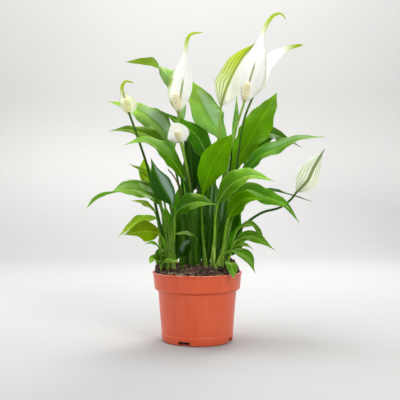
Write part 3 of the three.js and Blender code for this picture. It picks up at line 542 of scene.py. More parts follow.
def petiole_section(up, to_neck, cells, sheath):
    """Half axes of a petiole: a sheath that widens its foot, and a knee just under the blade."""
    sideways, raised = circle(cells)
    knee = 1 + PETIOLE["knee"] * np.exp(-((to_neck - PETIOLE["knee_below"]) / PETIOLE["knee_spread"]) ** 2)
    radius = (PETIOLE["foot"] + (PETIOLE["neck"] - PETIOLE["foot"]) * up) * knee
    clasp = sheath * (1 - smoothstep(up, 0, 0.5))
    channel = 1 - PETIOLE["channel"] * np.exp(-(sideways / PETIOLE["channel_width"]) ** 2) * (raised > 0)
    return (radius + clasp) * sideways, (radius + 0.25 * clasp) * raised * channel


def wave(kind, run, phase, half):
    """A wave along a blade's edge, as a share of the half width."""
    height, length, own, apart = WAVES[kind]
    return height * np.sin(run / length + own * phase + apart * half)


def blade_reach(t, leaf):
    """Half width of a blade, which ends in a thin drip tip."""
    oval = np.maximum(np.sin(np.pi * t ** leaf["belly"]), 0) ** 1.05
    outline = oval * (1 - leaf["taper"] * smoothstep(t, 0.5, 1))
    return np.maximum(leaf["width"] / 2 * outline, 0.15 + 0.4 * (1 - t))


def blade_section(t, run, u, under, leaf, phase):
    """Offsets of a blade's points: sideways and up, in mm, for places `t` along and `u` across it."""
    reach, half, away = blade_reach(t, leaf), np.sign(u), np.abs(u)
    lobes = wave("short_lobes", run, phase, half) + wave("long_lobes", run, phase, half)
    side = u * reach * (1 + lobes)
    start = np.where(u > 0, RIPPLE["right"], RIPPLE["left"])
    ripple = RIPPLE["height"] * u ** 2 * np.sin(t * RIPPLE["span"] + start)
    frill = away ** 5 * wave("short_frill", run, phase, half)
    frill = frill + away ** 3 * wave("long_frill", run, phase, half)
    rise = reach * (leaf["fold"] * (1.35 * away - 0.8 * u ** 2) + ripple + frill)
    vein = (run - VEIN["slant"] * np.abs(side) - VEIN["curve"] * side ** 2) / VEIN["gap"]
    swell = (np.abs(np.sin(np.pi * vein)) - 0.6) * 4 * away * (1 - away)
    quilt = QUILT * swell * smoothstep(reach, 3, 8)
    groove = MIDRIB["groove"] * (1 - t) * np.exp(-(side / MIDRIB["groove_width"]) ** 2)
    ridge = leaf["ridge"] * (1 - t) * np.exp(-(side / MIDRIB["ridge_width"]) ** 2)
    thickness = leaf["thickness"] * (1 - 0.6 * away ** 3)
    up = rise + quilt + leaf["thickness"] / 2 - (1 - under) * groove - under * (thickness + ridge)
    return side, up


def painted_sheen_of(leaf, t, u, under):
    """Where a blade has a painted sheen, a pale patch of painted reflection: on one half, between two places
    along it.
    """
    if not leaf["painted_sheen"]:
        return 0.0
    half, start, end, strength = leaf["painted_sheen"]
    soft = 0.12
    along = smoothstep(t, start - soft, start + soft) * (1 - smoothstep(t, end - soft, end + soft))
    beside = smoothstep(u * half, 0.02, 0.2) * (1 - smoothstep(u * half, 0.55, 0.95))
    return strength * along * beside * (1 - under)


def leaf_piece(name, leaf, cells):
    """A leaf from its foot in the soil to its tip, with its places along and across as marks."""
    leaf = LEAF | leaf
    line = stem_line(leaf["root"], leaf["stem"] + leaf["blade"])
    neck = line.share_of(len(leaf["stem"]) + 1)
    stem_rows, blade_rows = FINE["petiole_rings"], FINE["blade_rings"] + 1
    up = np.concatenate([np.linspace(0, 1, stem_rows, endpoint=False), np.ones(blade_rows)])
    t = np.concatenate([np.zeros(stem_rows), np.linspace(0, 1, blade_rows)])
    share = up * neck + t * (1 - neck)
    centre, tangent = line.at(share), line.tangent(share)
    turn = smoothstep(t, 0.4, 0.9)[:, None]
    face = np.array(leaf["face"], float) * (1 - turn) + np.array(leaf.get("tip_face", leaf["face"])) * turn
    normal = carried_down(across(face, tangent), tangent, stem_rows)
    centre[0] = sunk_foot(leaf["root"])

    u, under = section(cells)
    up, t, run = up[:, None], t[:, None], (share[:, None] - neck) * line.length
    tip_x, _, tip_z = leaf["blade"][-1]
    phase = 0.37 * tip_x + 0.21 * tip_z
    flat = smoothstep(t, 0, 0.07)
    sideways, raised = (stem * (1 - flat) + blade * flat for stem, blade in zip(
        petiole_section(up, -run, cells, leaf["sheath"]), blade_section(t, run, u, under, leaf, phase)))
    rings = rings_round(centre, np.cross(tangent, normal), normal, sideways, raised)
    # The third mark holds painted light: the sheen patch, and the brightness of the blade and of the
    # petiole.
    marks = {"place": mark(np.where(t > 0, t, up - 1), u, under), "run": mark(run, sideways, phase),
             "painted_sheen": mark(painted_sheen_of(leaf, t, u, under), leaf["tone"], leaf["petiole"] + 0 * sideways)}
    return sweep(name, rings, marks)


# ---- flowers


def stalk_piece(name, root, points, top_radius=STALK["top"]):
    line = stem_line(root, points)
    share = np.linspace(0, 1, FINE["stalk_rings"])
    centre, tangent = line.at(share), line.tangent(share)
    centre[0] = sunk_foot(root)
    normal = across(np.array([0, -1.0, 0]) + 0 * tangent, tangent)
    sideways, raised = circle(FINE["stalk_sides"] // 2 - 1)
    share = share[:, None]
    radius = STALK["foot"] + (top_radius - STALK["foot"]) * share
    radius = radius + STALK_FOOT * (1 - smoothstep(share, 0, 0.3))
    rings = rings_round(centre, np.cross(tangent, normal), normal, radius * sideways, radius * raised)
    return sweep(name, rings, {"place": mark(share, sideways, raised)})


def stalk_top(root, points):
    line = stem_line(root, points)
    return line.at(1.0), line.tangent(1.0)


def spathe_reach(t, spathe):
    """Half width of a bract: an oval body that runs out into a tail."""
    along = np.minimum(t / spathe["body"], 1)
    oval = np.where(along < 1, np.maximum(np.sin(np.pi * along ** 0.8), 0) ** spathe["power"], 0)
    outline = np.hypot(oval, spathe["tail"] * smoothstep(t, 0, 0.3) * (1 - t) ** 0.5)
    return np.maximum(spathe["width"] / 2 * outline, 0.5)


def spathe_wave(kind, run, half, start):
    length, apart = SPATHE_WAVES[kind]
    return np.sin(run / length + apart * half + start)


def spathe_piece(name, top, rise, spathe):
    """A cupped bract that clasps the back of its stalk's top and runs out into a narrow tip."""
    spathe = SPATHE | spathe
    face = np.array(spathe["face"], float)
    base = top - SEAT["clasp"] * rise - (STALK["top"] + SEAT["clearance"]) * across(face, rise)
    line = Line([base, *spathe["line"]])
    t = np.linspace(0, 1, FINE["spathe_rings"] + 1)
    centre, tangent = line.at(t), line.tangent(t)
    normal = across(face + 0 * tangent, tangent)
    u, under = section(FINE["spathe_cells"])
    t, cup = t[:, None], spathe["cup"]
    run = t * line.length
    half, start = np.sign(u), top[0]
    lift = spathe["lift"] * u ** 4 * spathe_wave("lift", run, half, start)
    reach = spathe_reach(t, spathe) * (1 + spathe["frill"] * spathe_wave("frill", run, half, start))
    ribs = SPATHE_RIBS["height"] * np.cos(u * SPATHE_RIBS["turns"]) * smoothstep(reach, 3, 9)
    keel = KEEL["height"] * np.exp(-(u * reach / KEEL["width"]) ** 2) * (1 - t)
    thickness = spathe["thickness"] * (1 - 0.5 * np.abs(u) ** 3)
    sideways = reach * np.sin(cup * u) / cup
    raised = reach * ((1 - np.cos(cup * u)) / cup + lift) + ribs - under * (thickness + keel)
    rings = rings_round(centre, np.cross(tangent, normal), normal, sideways, raised)
    return sweep(name, rings, {"place": mark(t, u, under), "run": mark(run, u * reach, 1.0)})


def floret_relief(turn, row):
    """Height of the florets, packed like tiles in staggered rows: 0 between them and 1 on top."""
    shift = 0.5 * (np.floor(row) % 2)
    a = (turn + shift) % 1 - 0.5
    b = row % 1 - 0.5
    return np.sqrt(np.maximum(1 - FLORETS["steep"] * (a ** 2 + b ** 2), 0))


def spadix_piece(name, top, tip, radius):
    """The spike of florets on a stalk's top."""
    tip = np.array(tip, float)
    direction = unit(tip - top)
    base = top + direction * SEAT["clearance"]
    axis = tip - base
    side = across(np.array([1.0, 0, 0]), direction)
    depth = np.cross(side, direction)
    s = np.linspace(0, 1, FINE["spadix_rings"])[:, None]
    turn = np.arange(FINE["spadix_sides"]) / FINE["spadix_sides"]
    relief = floret_relief(turn * FLORETS["around"], s * np.linalg.norm(axis) / FLORETS["row"])
    body = np.maximum(1 - np.abs(2 * s - 1) ** 4, 0) ** 0.5
    reach = radius * np.maximum(body, 0.25) * (FLORETS["valley"] + FLORETS["height"] * relief * (body > 0.3))
    angle = math.pi - turn * 2 * math.pi
    rings = (base + axis * s[..., None]
             + side * (reach * np.cos(angle))[..., None]
             + depth * (reach * np.sin(angle))[..., None])
    return sweep(name, rings, {"place": mark(s, relief, turn)}, CREASE["florets"])


# ---- pot and peat


def wall_radius(z):
    return POT["foot"] + (POT["step"] - POT["foot"]) * z / POT["band_height"]


def band_radius(z):
    share = (z - POT["band_height"]) / (POT["lip_height"] - POT["band_height"])
    return POT["band_foot"] + (POT["lip"] - POT["overhang"] - POT["band_foot"]) * share


def around(radius, count):
    """Points of a circle about the part's axis, as x and y."""
    angles = [2 * math.pi * i / count for i in range(count)]
    return [(radius * math.cos(angle), radius * math.sin(angle)) for angle in angles]


def rounded(corners):
    """The corners of a profile, each cut back and replaced by a small arc."""
    profile = [corners[0]]
    for before, corner, after in zip(corners, corners[1:], corners[2:]):
        before, corner, after = (np.array(p, float) for p in (before, corner, after))
        back, ahead = before - corner, after - corner
        cut = min(ROUNDING, np.linalg.norm(back) / 2.2, np.linalg.norm(ahead) / 2.2)
        start, end = corner + unit(back) * cut, corner + unit(ahead) * cut
        for w in np.linspace(0, 1, FINE["corner_steps"]):
            profile.append(tuple((1 - w) ** 2 * start + 2 * w * (1 - w) * corner + w ** 2 * end))
    return profile + [corners[-1]]


def pot_profile():
    """Radius and height from the middle of the underside, up the outside and down the inside."""
    top, wall, bevel = POT["lip_height"], POT["wall"], POT["bevel"]
    lip_foot, band_foot, line = top - POT["lip_thickness"], POT["band_height"] + bevel, POT_MARK["height"]
    return rounded([
        (0, 0), (POT["foot"] - bevel, 0), (POT["foot"], bevel),
        (wall_radius(line) + POT_MARK["out"], line),
        (wall_radius(line) - POT_MARK["back"], line + POT_MARK["drop"]),
        (wall_radius(POT["wall_top"]), POT["wall_top"] + 0.5),
        (POT["band_foot"] - POT["overhang"], POT["band_height"]), (POT["band_foot"], band_foot),
        (band_radius(lip_foot), lip_foot), (POT["lip"], lip_foot + 0.5),
        (POT["lip"], top), (band_radius(top) - wall, top),
        (POT["band_foot"] - wall, band_foot + wall), (POT["step"] - wall, POT["band_height"]),
        (wall_radius(POT["floor"]) - wall, POT["floor"]), (0, POT["floor"]),
    ])


def pot_piece():
    profile = pot_profile()[1:-1]
    count = FINE["pot_segments"]
    points = [(x, y, z) for radius, z in profile for x, y in around(radius, count)]
    last = (len(profile) - 1) * count
    faces = ring_faces(len(profile), count)
    faces.append(tuple(range(count - 1, -1, -1)))
    faces.append(tuple(last + i for i in range(count)))
    pot = piece_of("fine_pot", points, faces, crease=CREASE["pot"])
    cut_notches(pot)
    pot.data.set_sharp_from_angle(angle=math.radians(CREASE["pot"]))
    return pot


def cut_notches(pot):
    cutter = bmesh.new()
    for i in range(NOTCH["count"]):
        turn = Matrix.Rotation(math.radians(NOTCH["first"] + i * 360 / NOTCH["count"]), 4, "Z")
        size = Matrix.Diagonal((NOTCH["depth"] * MM, NOTCH["width"] * MM, 2 * NOTCH["height"] * MM, 1))
        bmesh.ops.create_cube(cutter, matrix=turn @ Matrix.Translation((POT["foot"] * MM, 0, 0)) @ size)
    mesh = bpy.data.meshes.new("notch_cutter")
    cutter.to_mesh(mesh)
    cutter.free()
    tool = bpy.data.objects.new("notch_cutter", mesh)
    bpy.context.scene.collection.objects.link(tool)
    modifier = pot.modifiers.new("notches", "BOOLEAN")
    modifier.operation, modifier.solver, modifier.object = "DIFFERENCE", "EXACT", tool
    bpy.context.view_layer.objects.active = pot
    bpy.ops.object.modifier_apply(modifier="notches")
    bpy.data.objects.remove(tool)


def crumbled(x, y):
    """Height of the loose peat: the surface of the solid broken up into lumps of three sizes."""
    coarse, middle, fine = (height * noise.noise(Vector((x, y, 0)) * waves + Vector((*place, 0)))
                            for waves, height, place in LUMPS)
    return float(soil_top(x, y)) + coarse + abs(middle) + fine - LUMPS_LOWERED


def soil_reach():
    """Radius of the pot's inside at the peat's rim."""
    return band_radius(SOIL["rim"]) - POT["wall"]


def soil_piece():
    rim, inset = soil_reach() - PLUG["gap"], PLUG["inset"]
    rings, count = FINE["soil_rings"], FINE["soil_segments"]
    points = [(0, 0, crumbled(0, 0))]
    for ring in range(1, rings + 1):
        points += [(x, y, crumbled(x, y)) for x, y in around(rim * ring / rings, count)]
    side = [(rim - 0.3, PLUG["band"]), (POT["band_foot"] - inset, PLUG["step"])]
    side += [(wall_radius(z) - inset, z) for z in (PLUG["wall"], PLUG["foot"])]
    points += [(x, y, z) for radius, z in side for x, y in around(radius, count)]
    faces = [(0, 1 + i, 1 + (i + 1) % count) for i in range(count)]
    faces += [(a, d, c, b) for a, b, c, d in ring_faces(rings + len(side), count, first=1)]
    faces.append(tuple(range(len(points) - 1, len(points) - 1 - count, -1)))
    return piece_of("fine_soil", points, faces, crease=CREASE["none"])


def lump():
    """A small icosphere to pull into crumbs: its points and faces."""
    ball = bmesh.new()
    bmesh.ops.create_icosphere(ball, subdivisions=2, radius=1)
    points = np.array([v.co for v in ball.verts])
    faces = [tuple(v.index for v in face.verts) for face in ball.faces]
    ball.free()
    return points, faces


def crumb_place(rng, chip):
    """A crumb's azimuth, its share of the peat's radius and its size in mm."""
    if chip:
        azimuth = rng.gauss(math.radians(CRUMBS["chip_azimuth"]), CRUMBS["chip_spread"])
        return azimuth, rng.uniform(*CRUMBS["chip_reach"]), rng.uniform(*CRUMBS["chip_size"])
    azimuth, share = rng.uniform(0, 2 * math.pi), math.sqrt(rng.uniform(0.02, 1))
    return azimuth, share, CRUMBS["smallest"] + CRUMBS["growth"] * rng.random() ** 3


def crumb_shape(rng, ball, size):
    """The points of a crumb: the ball stretched, roughened and turned."""
    shape = ball * [size * rng.uniform(*limits) for limits in CRUMBS["stretch"]]
    rough = np.array([rng.uniform(*CRUMBS["rough"]) for _ in ball])[:, None]
    turn = Matrix.Rotation(rng.uniform(0, math.pi), 3, "Z")
    tilt = Matrix.Rotation(rng.uniform(-CRUMBS["tilt"], CRUMBS["tilt"]), 3, "X")
    return shape * rough @ np.array(turn @ tilt).T


def crumbs_piece(rng):
    """Loose crumbs of peat and bark over the surface, paler chips at the front left."""
    ball, ball_faces = lump()
    points, faces, shades = [], [], []
    limit = soil_reach() - CRUMBS["rim"]
    for i in range(CRUMBS["count"]):
        chip = i % CRUMBS["chip_each"] == 0
        azimuth, share, size = crumb_place(rng, chip)
        x, y = limit * share * math.cos(azimuth), limit * share * math.sin(azimuth)
        faces += [tuple(i * len(ball) + k for k in face) for face in ball_faces]
        points.append(crumb_shape(rng, ball, size) + (x, y, crumbled(x, y) + CRUMBS["lift"] * size))
        shade = CRUMBS["chip_shade"] if chip else rng.random() ** 2
        shades.append(np.tile((shade, 0, 0), (len(ball), 1)))
    marks = {"place": np.concatenate(shades)}
    return piece_of("peat_crumbs", np.concatenate(points), faces, marks, CREASE["crumbs"])


# ---- materials. Colours are those that a screen shows, 0 to 255.


def screen(colour):
    """A screen's colour as linear RGBA."""
    shares = [c / 255 for c in colour]
    return (*[((c + 0.055) / 1.055) ** 2.4 if c > 0.04 else c / 12.92 for c in shares], 1.0)


def shaded(colour, light):
    return tuple(light * c for c in colour)


class Nodes:
    """A material's nodes, added by short calls. An input is a number, a colour or another node's output."""

    def __init__(self, name):
        self.material = bpy.data.materials.new(name)
        self.material.use_nodes = True
        self.tree = self.material.node_tree
        self.tree.nodes.clear()

    def add(self, kind, inputs, **settings):
        node = self.tree.nodes.new(kind)
        for key, value in settings.items():
            setattr(node, key, value)
        for key, value in inputs.items():
            if isinstance(value, bpy.types.NodeSocket):
                self.tree.links.new(value, node.inputs[key])
            else:
                node.inputs[key].default_value = value
        return node

    def math(self, operation, a, b=0.0, c=0.0):
        return self.add("ShaderNodeMath", {0: a, 1: b, 2: c}, operation=operation).outputs[0]

    def times(self, a, b):
        return self.math("MULTIPLY", a, b)

    def step(self, value, low, high, start=0.0, end=1.0):
        """A smooth step of `value` from `start` at `low` to `end` at `high`."""
        limits = {"Value": value, "From Min": low, "From Max": high, "To Min": start, "To Max": end}
        if low > high:
            limits.update({"From Min": high, "From Max": low, "To Min": end, "To Max": start})
        return self.add("ShaderNodeMapRange", limits, interpolation_type="SMOOTHSTEP").outputs["Result"]

    def mix(self, share, a, b):
        """From `a` to `b` by `share`. Each is a node's output or a screen's colour."""
        a, b = (screen(colour) if isinstance(colour, tuple) else colour for colour in (a, b))
        return self.add("ShaderNodeMix", {0: share, 6: a, 7: b}, data_type="RGBA").outputs[2]

    def lit(self, colour, value):
        return self.add("ShaderNodeHueSaturation", {"Color": colour, "Value": value}).outputs[0]

    def parts(self, vector):
        return self.add("ShaderNodeSeparateXYZ", {0: vector}).outputs[:]

    def marks(self, label):
        """The three numbers of a named mark."""
        return self.parts(self.add("ShaderNodeAttribute", {}, attribute_name=label).outputs["Vector"])

    def place(self):
        """The place on the piece, in metres."""
        return self.add("ShaderNodeTexCoord", {}).outputs["Object"]

    def noise(self, scale, detail=3.0, stretch=(1, 1, 1)):
        """Noise through space, about 0.3 to 0.7, with `scale` waves a metre."""
        place = self.add("ShaderNodeMapping", {"Vector": self.place(), "Scale": stretch}).outputs[0]
        inputs = {"Vector": place, "Scale": scale, "Detail": detail}
        return self.add("ShaderNodeTexNoise", inputs).outputs["Fac"]

    def bump(self, height, distance, strength):
        inputs = {"Height": height, "Distance": distance, "Strength": strength}
        return self.add("ShaderNodeBump", inputs).outputs[0]

    def surface(self, colour, roughness, more, depth=None):
        """A plain surface. `depth`: the share of light that sinks in, then how far by colour, in metres."""
        inputs = {"Base Color": colour, "Roughness": roughness, **more}
        if depth:
            share, *reach = depth
            inputs.update({"Subsurface Weight": share, "Subsurface Radius": reach, "Subsurface Scale": 1.0})
        return self.add("ShaderNodeBsdfPrincipled", inputs).outputs[0]

    def see_through(self, surface, share, light):
        """`surface`, of which a share is lit from behind."""
        light = self.add("ShaderNodeBsdfTranslucent", light).outputs[0]
        return self.add("ShaderNodeMixShader", {0: share, 1: surface, 2: light}).outputs[0]

    def finish(self, shader):
        self.add("ShaderNodeOutputMaterial", {"Surface": shader})
        return self.material


# A blade's middle, tip and veins, the light that comes through it, the colour of its painted sheen, how
# glossy it is, and how strongly its veins show. The looks are partly the leaves' own greens, and partly
# painted light and shade: lit, backlit and shaded greens of one leaf.
LOOKS = {
    "sunlit": dict(blade=(98, 154, 0), tip=(128, 180, 4), vein=(112, 166, 8), glow=(164, 216, 0),
                   sheen=(190, 226, 90), gloss=0.08, veined=0.45),
    "lime": dict(blade=(122, 154, 4), tip=(150, 176, 10), vein=(152, 180, 40), glow=(178, 208, 0),
                 sheen=(200, 226, 110), gloss=0.05, veined=0.45),
    "fresh": dict(blade=(84, 142, 8), tip=(142, 186, 60), vein=(136, 182, 56), glow=(146, 204, 10),
                  sheen=(178, 224, 124), gloss=0.2, veined=0.55),
    "mid": dict(blade=(68, 126, 8), tip=(116, 164, 40), vein=(120, 170, 56), glow=(128, 190, 6),
                sheen=(182, 228, 150), gloss=0.22, veined=0.55),
    "glossy": dict(blade=(50, 98, 2), tip=(82, 130, 8), vein=(90, 140, 28), glow=(102, 164, 0),
                   sheen=(186, 222, 190), gloss=0.25, veined=0.5),
    "deep": dict(blade=(22, 62, 0), tip=(48, 92, 6), vein=(54, 98, 18), glow=(70, 128, 0),
                 sheen=(196, 226, 212), gloss=0.3, veined=0.5),
    "pale": dict(blade=(126, 170, 82), tip=(170, 198, 48), vein=(74, 124, 40), glow=(156, 196, 82),
                 sheen=(222, 244, 226), gloss=0.12, veined=0.75),
    "faded": dict(blade=(138, 172, 104), tip=(156, 178, 0), vein=(96, 136, 66), glow=(152, 184, 106),
                  sheen=(214, 232, 190), gloss=0.06, veined=0.5),
    "grey": dict(blade=(84, 122, 58), tip=(104, 140, 66), vein=(120, 154, 84), glow=(128, 164, 70),
                 sheen=(190, 214, 180), gloss=0.06, veined=0.4),
    "olive": dict(blade=(66, 108, 8), tip=(110, 140, 32), vein=(108, 138, 40), glow=(122, 164, 8),
                  sheen=(180, 210, 120), gloss=0.06, veined=0.5),
}
# A pale green laid on sides that face up: a painted highlight for the light from above.
PAINTED_SKY_HIGHLIGHT = (182, 216, 84)
# A petiole's pale foot, its neck, its streaks, and dark: a deeper green laid on as painted shade where the
# petiole's painted brightness is low.
PETIOLE_PAINT = dict(foot=(176, 206, 92), neck=(118, 166, 40), streak=(62, 114, 14), dark=(62, 132, 14))
# A stalk's lower and upper colour.
STALK_LOOKS = dict(light=((62, 104, 14), (148, 182, 70)), dark=((44, 88, 4), (72, 110, 18)),
                   dry=((60, 104, 20), (122, 92, 56)))
# The gaps between florets, the florets and their specks.
SPADIX_LOOKS = dict(cream=((220, 186, 96), (255, 253, 226), (240, 212, 124)),
                    pale=((240, 228, 196), (255, 254, 244), (250, 240, 214)),
                    lime=((206, 204, 96), (250, 252, 196), (228, 228, 130)))
# A spathe's colours, and where its tint, stripes, green rim, tip and midrib are.
PLAIN_SPATHE = dict(
    white=(255, 255, 253), green=(206, 224, 120), stripe=(232, 238, 204), tip=(204, 224, 64),
    rib=(140, 154, 44), rim_colour=(134, 156, 50), tint=0.0, tint_up=0.0, flank=0,
    stripes=0.08, stray=0.3, thin=0.1, rim=0.0, rim_side=1, rim_from=0.8, rim_to=1.2, tip_from=0.62,
    rib_to=0.3, rib_wide=1.3)
SPATHE_LOOKS = {
    # tall_front's rim is green dashes along its edge: painted shade where the edge turns from the light.
    "tall_front": dict(rim=0.3, rib_to=0.44, rib_wide=1.6),
    "behind_right": dict(tip=(190, 212, 20), stripes=0.05, tip_from=0.72, rib_to=0.1),
    "tall_left": dict(rim=0.9, rim_side=-1, rim_from=0.72, rim_to=0.55, rim_colour=(184, 202, 76),
                      rib=(150, 166, 70), rib_to=0.42, rib_wide=1.8),
    "far_left": dict(white=(255, 255, 250), green=(230, 236, 140), tip=(206, 218, 60), tint=0.1,
                     stripe=(212, 222, 120), stripes=0.3, rim=0.4, rim_side=-1, tip_from=0.44, rib_to=0.6),
    "right_edge": dict(green=(226, 238, 130), stripe=(142, 172, 44), tip=(210, 226, 110), tint=0.12,
                       stripes=0.55, rib=(118, 146, 34), tip_from=0.92, rib_to=1.2, rib_wide=2.4),
    "round_centre": dict(tip=(254, 255, 250), stripes=0.04, tip_from=0.7, rib_to=0.12),
    "upper_centre": dict(white=(255, 255, 246), green=(212, 226, 0), stripe=(130, 166, 0), tip=(176, 202, 0),
                         rib=(158, 182, 20), tint=0.15, tint_up=0.85, flank=1, stripes=0.75, stray=0.45,
                         thin=0.55, rim=0.2, tip_from=0.74, rib_to=1.2, rib_wide=2.4),
}
# How close a spathe's stripes lie, in radians over its half width.
STRIPES = 27
POT_PAINT = dict(dark=(218, 82, 38), light=(226, 90, 44), cloud=(228, 104, 64), scuff=(226, 168, 148),
                 dust=(150, 96, 74))
PEAT_PAINT = dict(dark=(24, 16, 14), light=(88, 64, 52), crumb=(148, 114, 92), chip=(212, 196, 158))
STAGE_PAINT = dict(low=(168, 167, 166), high=(206, 205, 203), cloud=(190, 189, 187))


def blade_places(n):
    """What a leaf's paint follows: places along and across it, its veins, clouds of two sizes for painted
    shade, and its painted light: the sheen patch and the brightness of blade and petiole.
    """
    at = SimpleNamespace()
    at.along, at.over, at.under = n.marks("place")
    run, side, _ = n.marks("run")
    at.painted_sheen, at.tone, at.stem_tone = n.marks("painted_sheen")
    away = n.math("ABSOLUTE", side)
    lane = n.math("MULTIPLY_ADD", away, -VEIN["slant"], run)
    lane = n.math("MULTIPLY_ADD", n.times(away, away), -VEIN["curve"], lane)
    wave, fine_wave = (n.math("ABSOLUTE", n.math("SINE", n.times(lane, math.pi / gap)))
                       for gap in (VEIN["gap"], VEIN["fine_gap"]))
    at.main, at.valley, at.fine = n.step(wave, 0.3, 0.0), n.step(wave, 0.3, 1.0), n.step(fine_wave, 0.7, 0.1)
    at.rib = n.step(away, 1.1, 0.3)
    # Clouds of two sizes that darken the blade: painted shade. The smaller also sets the roughness.
    at.cloud, at.mottle = n.step(n.noise(17, 2), 0.36, 0.62), n.step(n.noise(70, 4), 0.36, 0.66)
    # Streaks along the veins, which break up the painted sheen.
    at.streak = n.step(n.math("MULTIPLY_ADD", at.main, -0.3, n.noise(60, 3)), 0.1, 0.5, 0.15, 1.0)
    return at


def blade_paint(n, at, look):
    """Painted shade near the foot, in clouds and between the side veins; side veins, a pale midrib, a
    painted rim light at the margin, a paler underside, a painted sky highlight on upward-facing sides, the
    leaf's painted brightness and a painted sheen patch.
    """
    shade, veined = shaded(look["blade"], 0.62), look["veined"]
    # The margin is lightened towards the vein colour: a painted rim light.
    painted_rim_light = n.step(n.math("ABSOLUTE", at.over), 0.88, 1.0)
    veins = n.math("MULTIPLY_ADD", at.main, veined, n.times(at.fine, 0.15))
    pale_rib = tuple(min(255, 1.1 * c + 14) for c in look["vein"])
    # Sides that face up get a painted sky highlight.
    upward = n.parts(n.add("ShaderNodeNewGeometry", {}).outputs["Normal"])[2]
    colour = n.mix(n.step(at.along, 0.35, 1.0), look["blade"], look["tip"])
    # Painted shade near the foot, in clouds and between the side veins; then the veins, a painted rim light,
    # a pale midrib, a paler underside and a painted sky highlight.
    for share, over in [
            (n.step(at.along, 0.0, 0.4, 0.55, 0.0), shade), (n.times(at.cloud, 0.5), shade),
            (n.times(at.mottle, 0.3), shade), (n.times(at.valley, 0.8 * veined), shade),
            (veins, look["vein"]), (n.times(painted_rim_light, 0.6), look["vein"]), (n.times(at.rib, veined), pale_rib),
            (n.times(at.under, 0.3), look["tip"]), (n.step(upward, 0.45, 0.95, 0.0, 0.3), PAINTED_SKY_HIGHLIGHT)]:
        colour = n.mix(share, colour, over)
    # The leaf's tone brightens or darkens it as painted light, and the painted sheen is laid over it.
    return n.mix(n.times(at.painted_sheen, at.streak), n.lit(colour, at.tone), look["sheen"])


def petiole_paint(n, at):
    """Pale at the foot, with green streaks along it, and painted shade: darker and a deeper green where the
    petiole's painted brightness is low.
    """
    streaks = n.step(n.noise(420, 2, (1, 1, 0.05)), 0.4, 0.62, 0.0, 0.75)
    colour = n.mix(n.step(at.along, -1.0, -0.3), PETIOLE_PAINT["foot"], PETIOLE_PAINT["neck"])
    colour = n.mix(streaks, colour, PETIOLE_PAINT["streak"])
    colour = n.mix(n.step(at.stem_tone, 0.4, 1.0, 0.75, 0.0), colour, PETIOLE_PAINT["dark"])
    return n.lit(colour, at.stem_tone)


def blade_glow(n, at, look):
    """The light that comes through a blade: duller at its veins, darker in the clouds of painted shade,
    scaled by the leaf's painted brightness, and paled under the painted sheen patch.
    """
    colour = n.mix(n.times(at.main, 0.8 * look["veined"]), look["glow"], look["vein"])
    colour = n.mix(at.cloud, colour, shaded(look["glow"], 0.8))
    colour = n.mix(n.step(at.along, 0.5, 1.0, 0.0, 0.8), colour, look["tip"])
    colour = n.lit(colour, n.math("POWER", at.tone, 0.5))
    return n.mix(n.times(at.painted_sheen, n.times(at.streak, 0.6)), colour, look["sheen"])


def leaf_material(name, look):
    n = Nodes(name)
    at = blade_places(n)
    on_blade = n.step(at.along, -0.03, 0.05)
    colour = n.mix(on_blade, petiole_paint(n, at), blade_paint(n, at, look))
    normal = n.bump(n.math("MULTIPLY_ADD", at.fine, -0.5, n.noise(420, 2)), 0.0003, 0.7)
    surface = n.surface(colour, n.step(at.mottle, 0.0, 1.0, 0.36, 0.5), {
        "Normal": normal, "Specular IOR Level": 0.03, "Coat Weight": look["gloss"], "Coat Roughness": 0.15})
    glow = {"Color": blade_glow(n, at, look), "Normal": normal}
    return n.finish(n.see_through(surface, n.times(on_blade, 0.45), glow))


def stalk_material(name, low, high):
    n = Nodes(name)
    streaks = n.step(n.noise(500, 3, (1, 1, 0.04)), 0.35, 0.65)
    colour = n.mix(n.step(n.marks("place")[0], 0.45, 0.9), low, high)
    colour = n.mix(n.times(streaks, 0.4), colour, shaded(low, 0.8))
    return n.finish(n.surface(
        colour, 0.42, {"Normal": n.bump(streaks, 0.0002, 0.5), "Specular IOR Level": 0.15},
        depth=(0.15, 0.002, 0.003, 0.001)))


def spathe_material(name, look):
    """White or green bract: a midrib from its foot, veins along it, a green rim and a green tip."""
    n = Nodes(name)
    along, over, _ = n.marks("place")
    side = n.marks("run")[1]
    wide = n.math("MULTIPLY_ADD", n.noise(40, 2), look["stray"], over)
    stripe = n.step(n.math("SINE", n.times(wide, STRIPES)), look["thin"], 0.95)
    green = n.step(n.times(over, look["flank"]), -0.12, 0.12) if look["flank"] else 1.0
    tint = n.times(n.math("MULTIPLY_ADD", n.step(along, 0.0, 0.8), look["tint_up"], look["tint"]), green)
    beside = n.step(n.times(over, look["rim_side"]), look["rim_from"], look["rim_from"] + 0.17)
    rim = n.times(n.times(beside, n.step(along, look["rim_to"], look["rim_to"] - 0.2)), look["rim"])
    rim = n.times(rim, n.step(n.noise(90, 2), 0.38, 0.52, 0.25, 1.0))
    rib = n.step(n.math("ABSOLUTE", side), look["rib_wide"], 0.4 * look["rib_wide"])
    rib = n.times(rib, n.step(along, look["rib_to"], look["rib_to"] - 0.1))
    tip = n.step(along, look["tip_from"], look["tip_from"] + 0.22)
    colour = look["white"]
    for share, paint in [
            (n.times(n.step(n.noise(30, 3), 0.4, 0.7), 0.35), shaded(look["white"], 0.94)),
            (tint, look["green"]), (n.times(n.times(stripe, look["stripes"]), green), look["stripe"]),
            (rim, look["rim_colour"]), (tip, look["tip"]), (n.times(rib, 0.85), look["rib"])]:
        colour = n.mix(share, colour, paint)
    normal = n.bump(n.math("MULTIPLY_ADD", stripe, -0.6, n.noise(300, 2)), 0.00025, 0.5)
    return n.finish(n.see_through(n.surface(colour, 0.5, {"Normal": normal}), 0.45, {"Color": colour}))


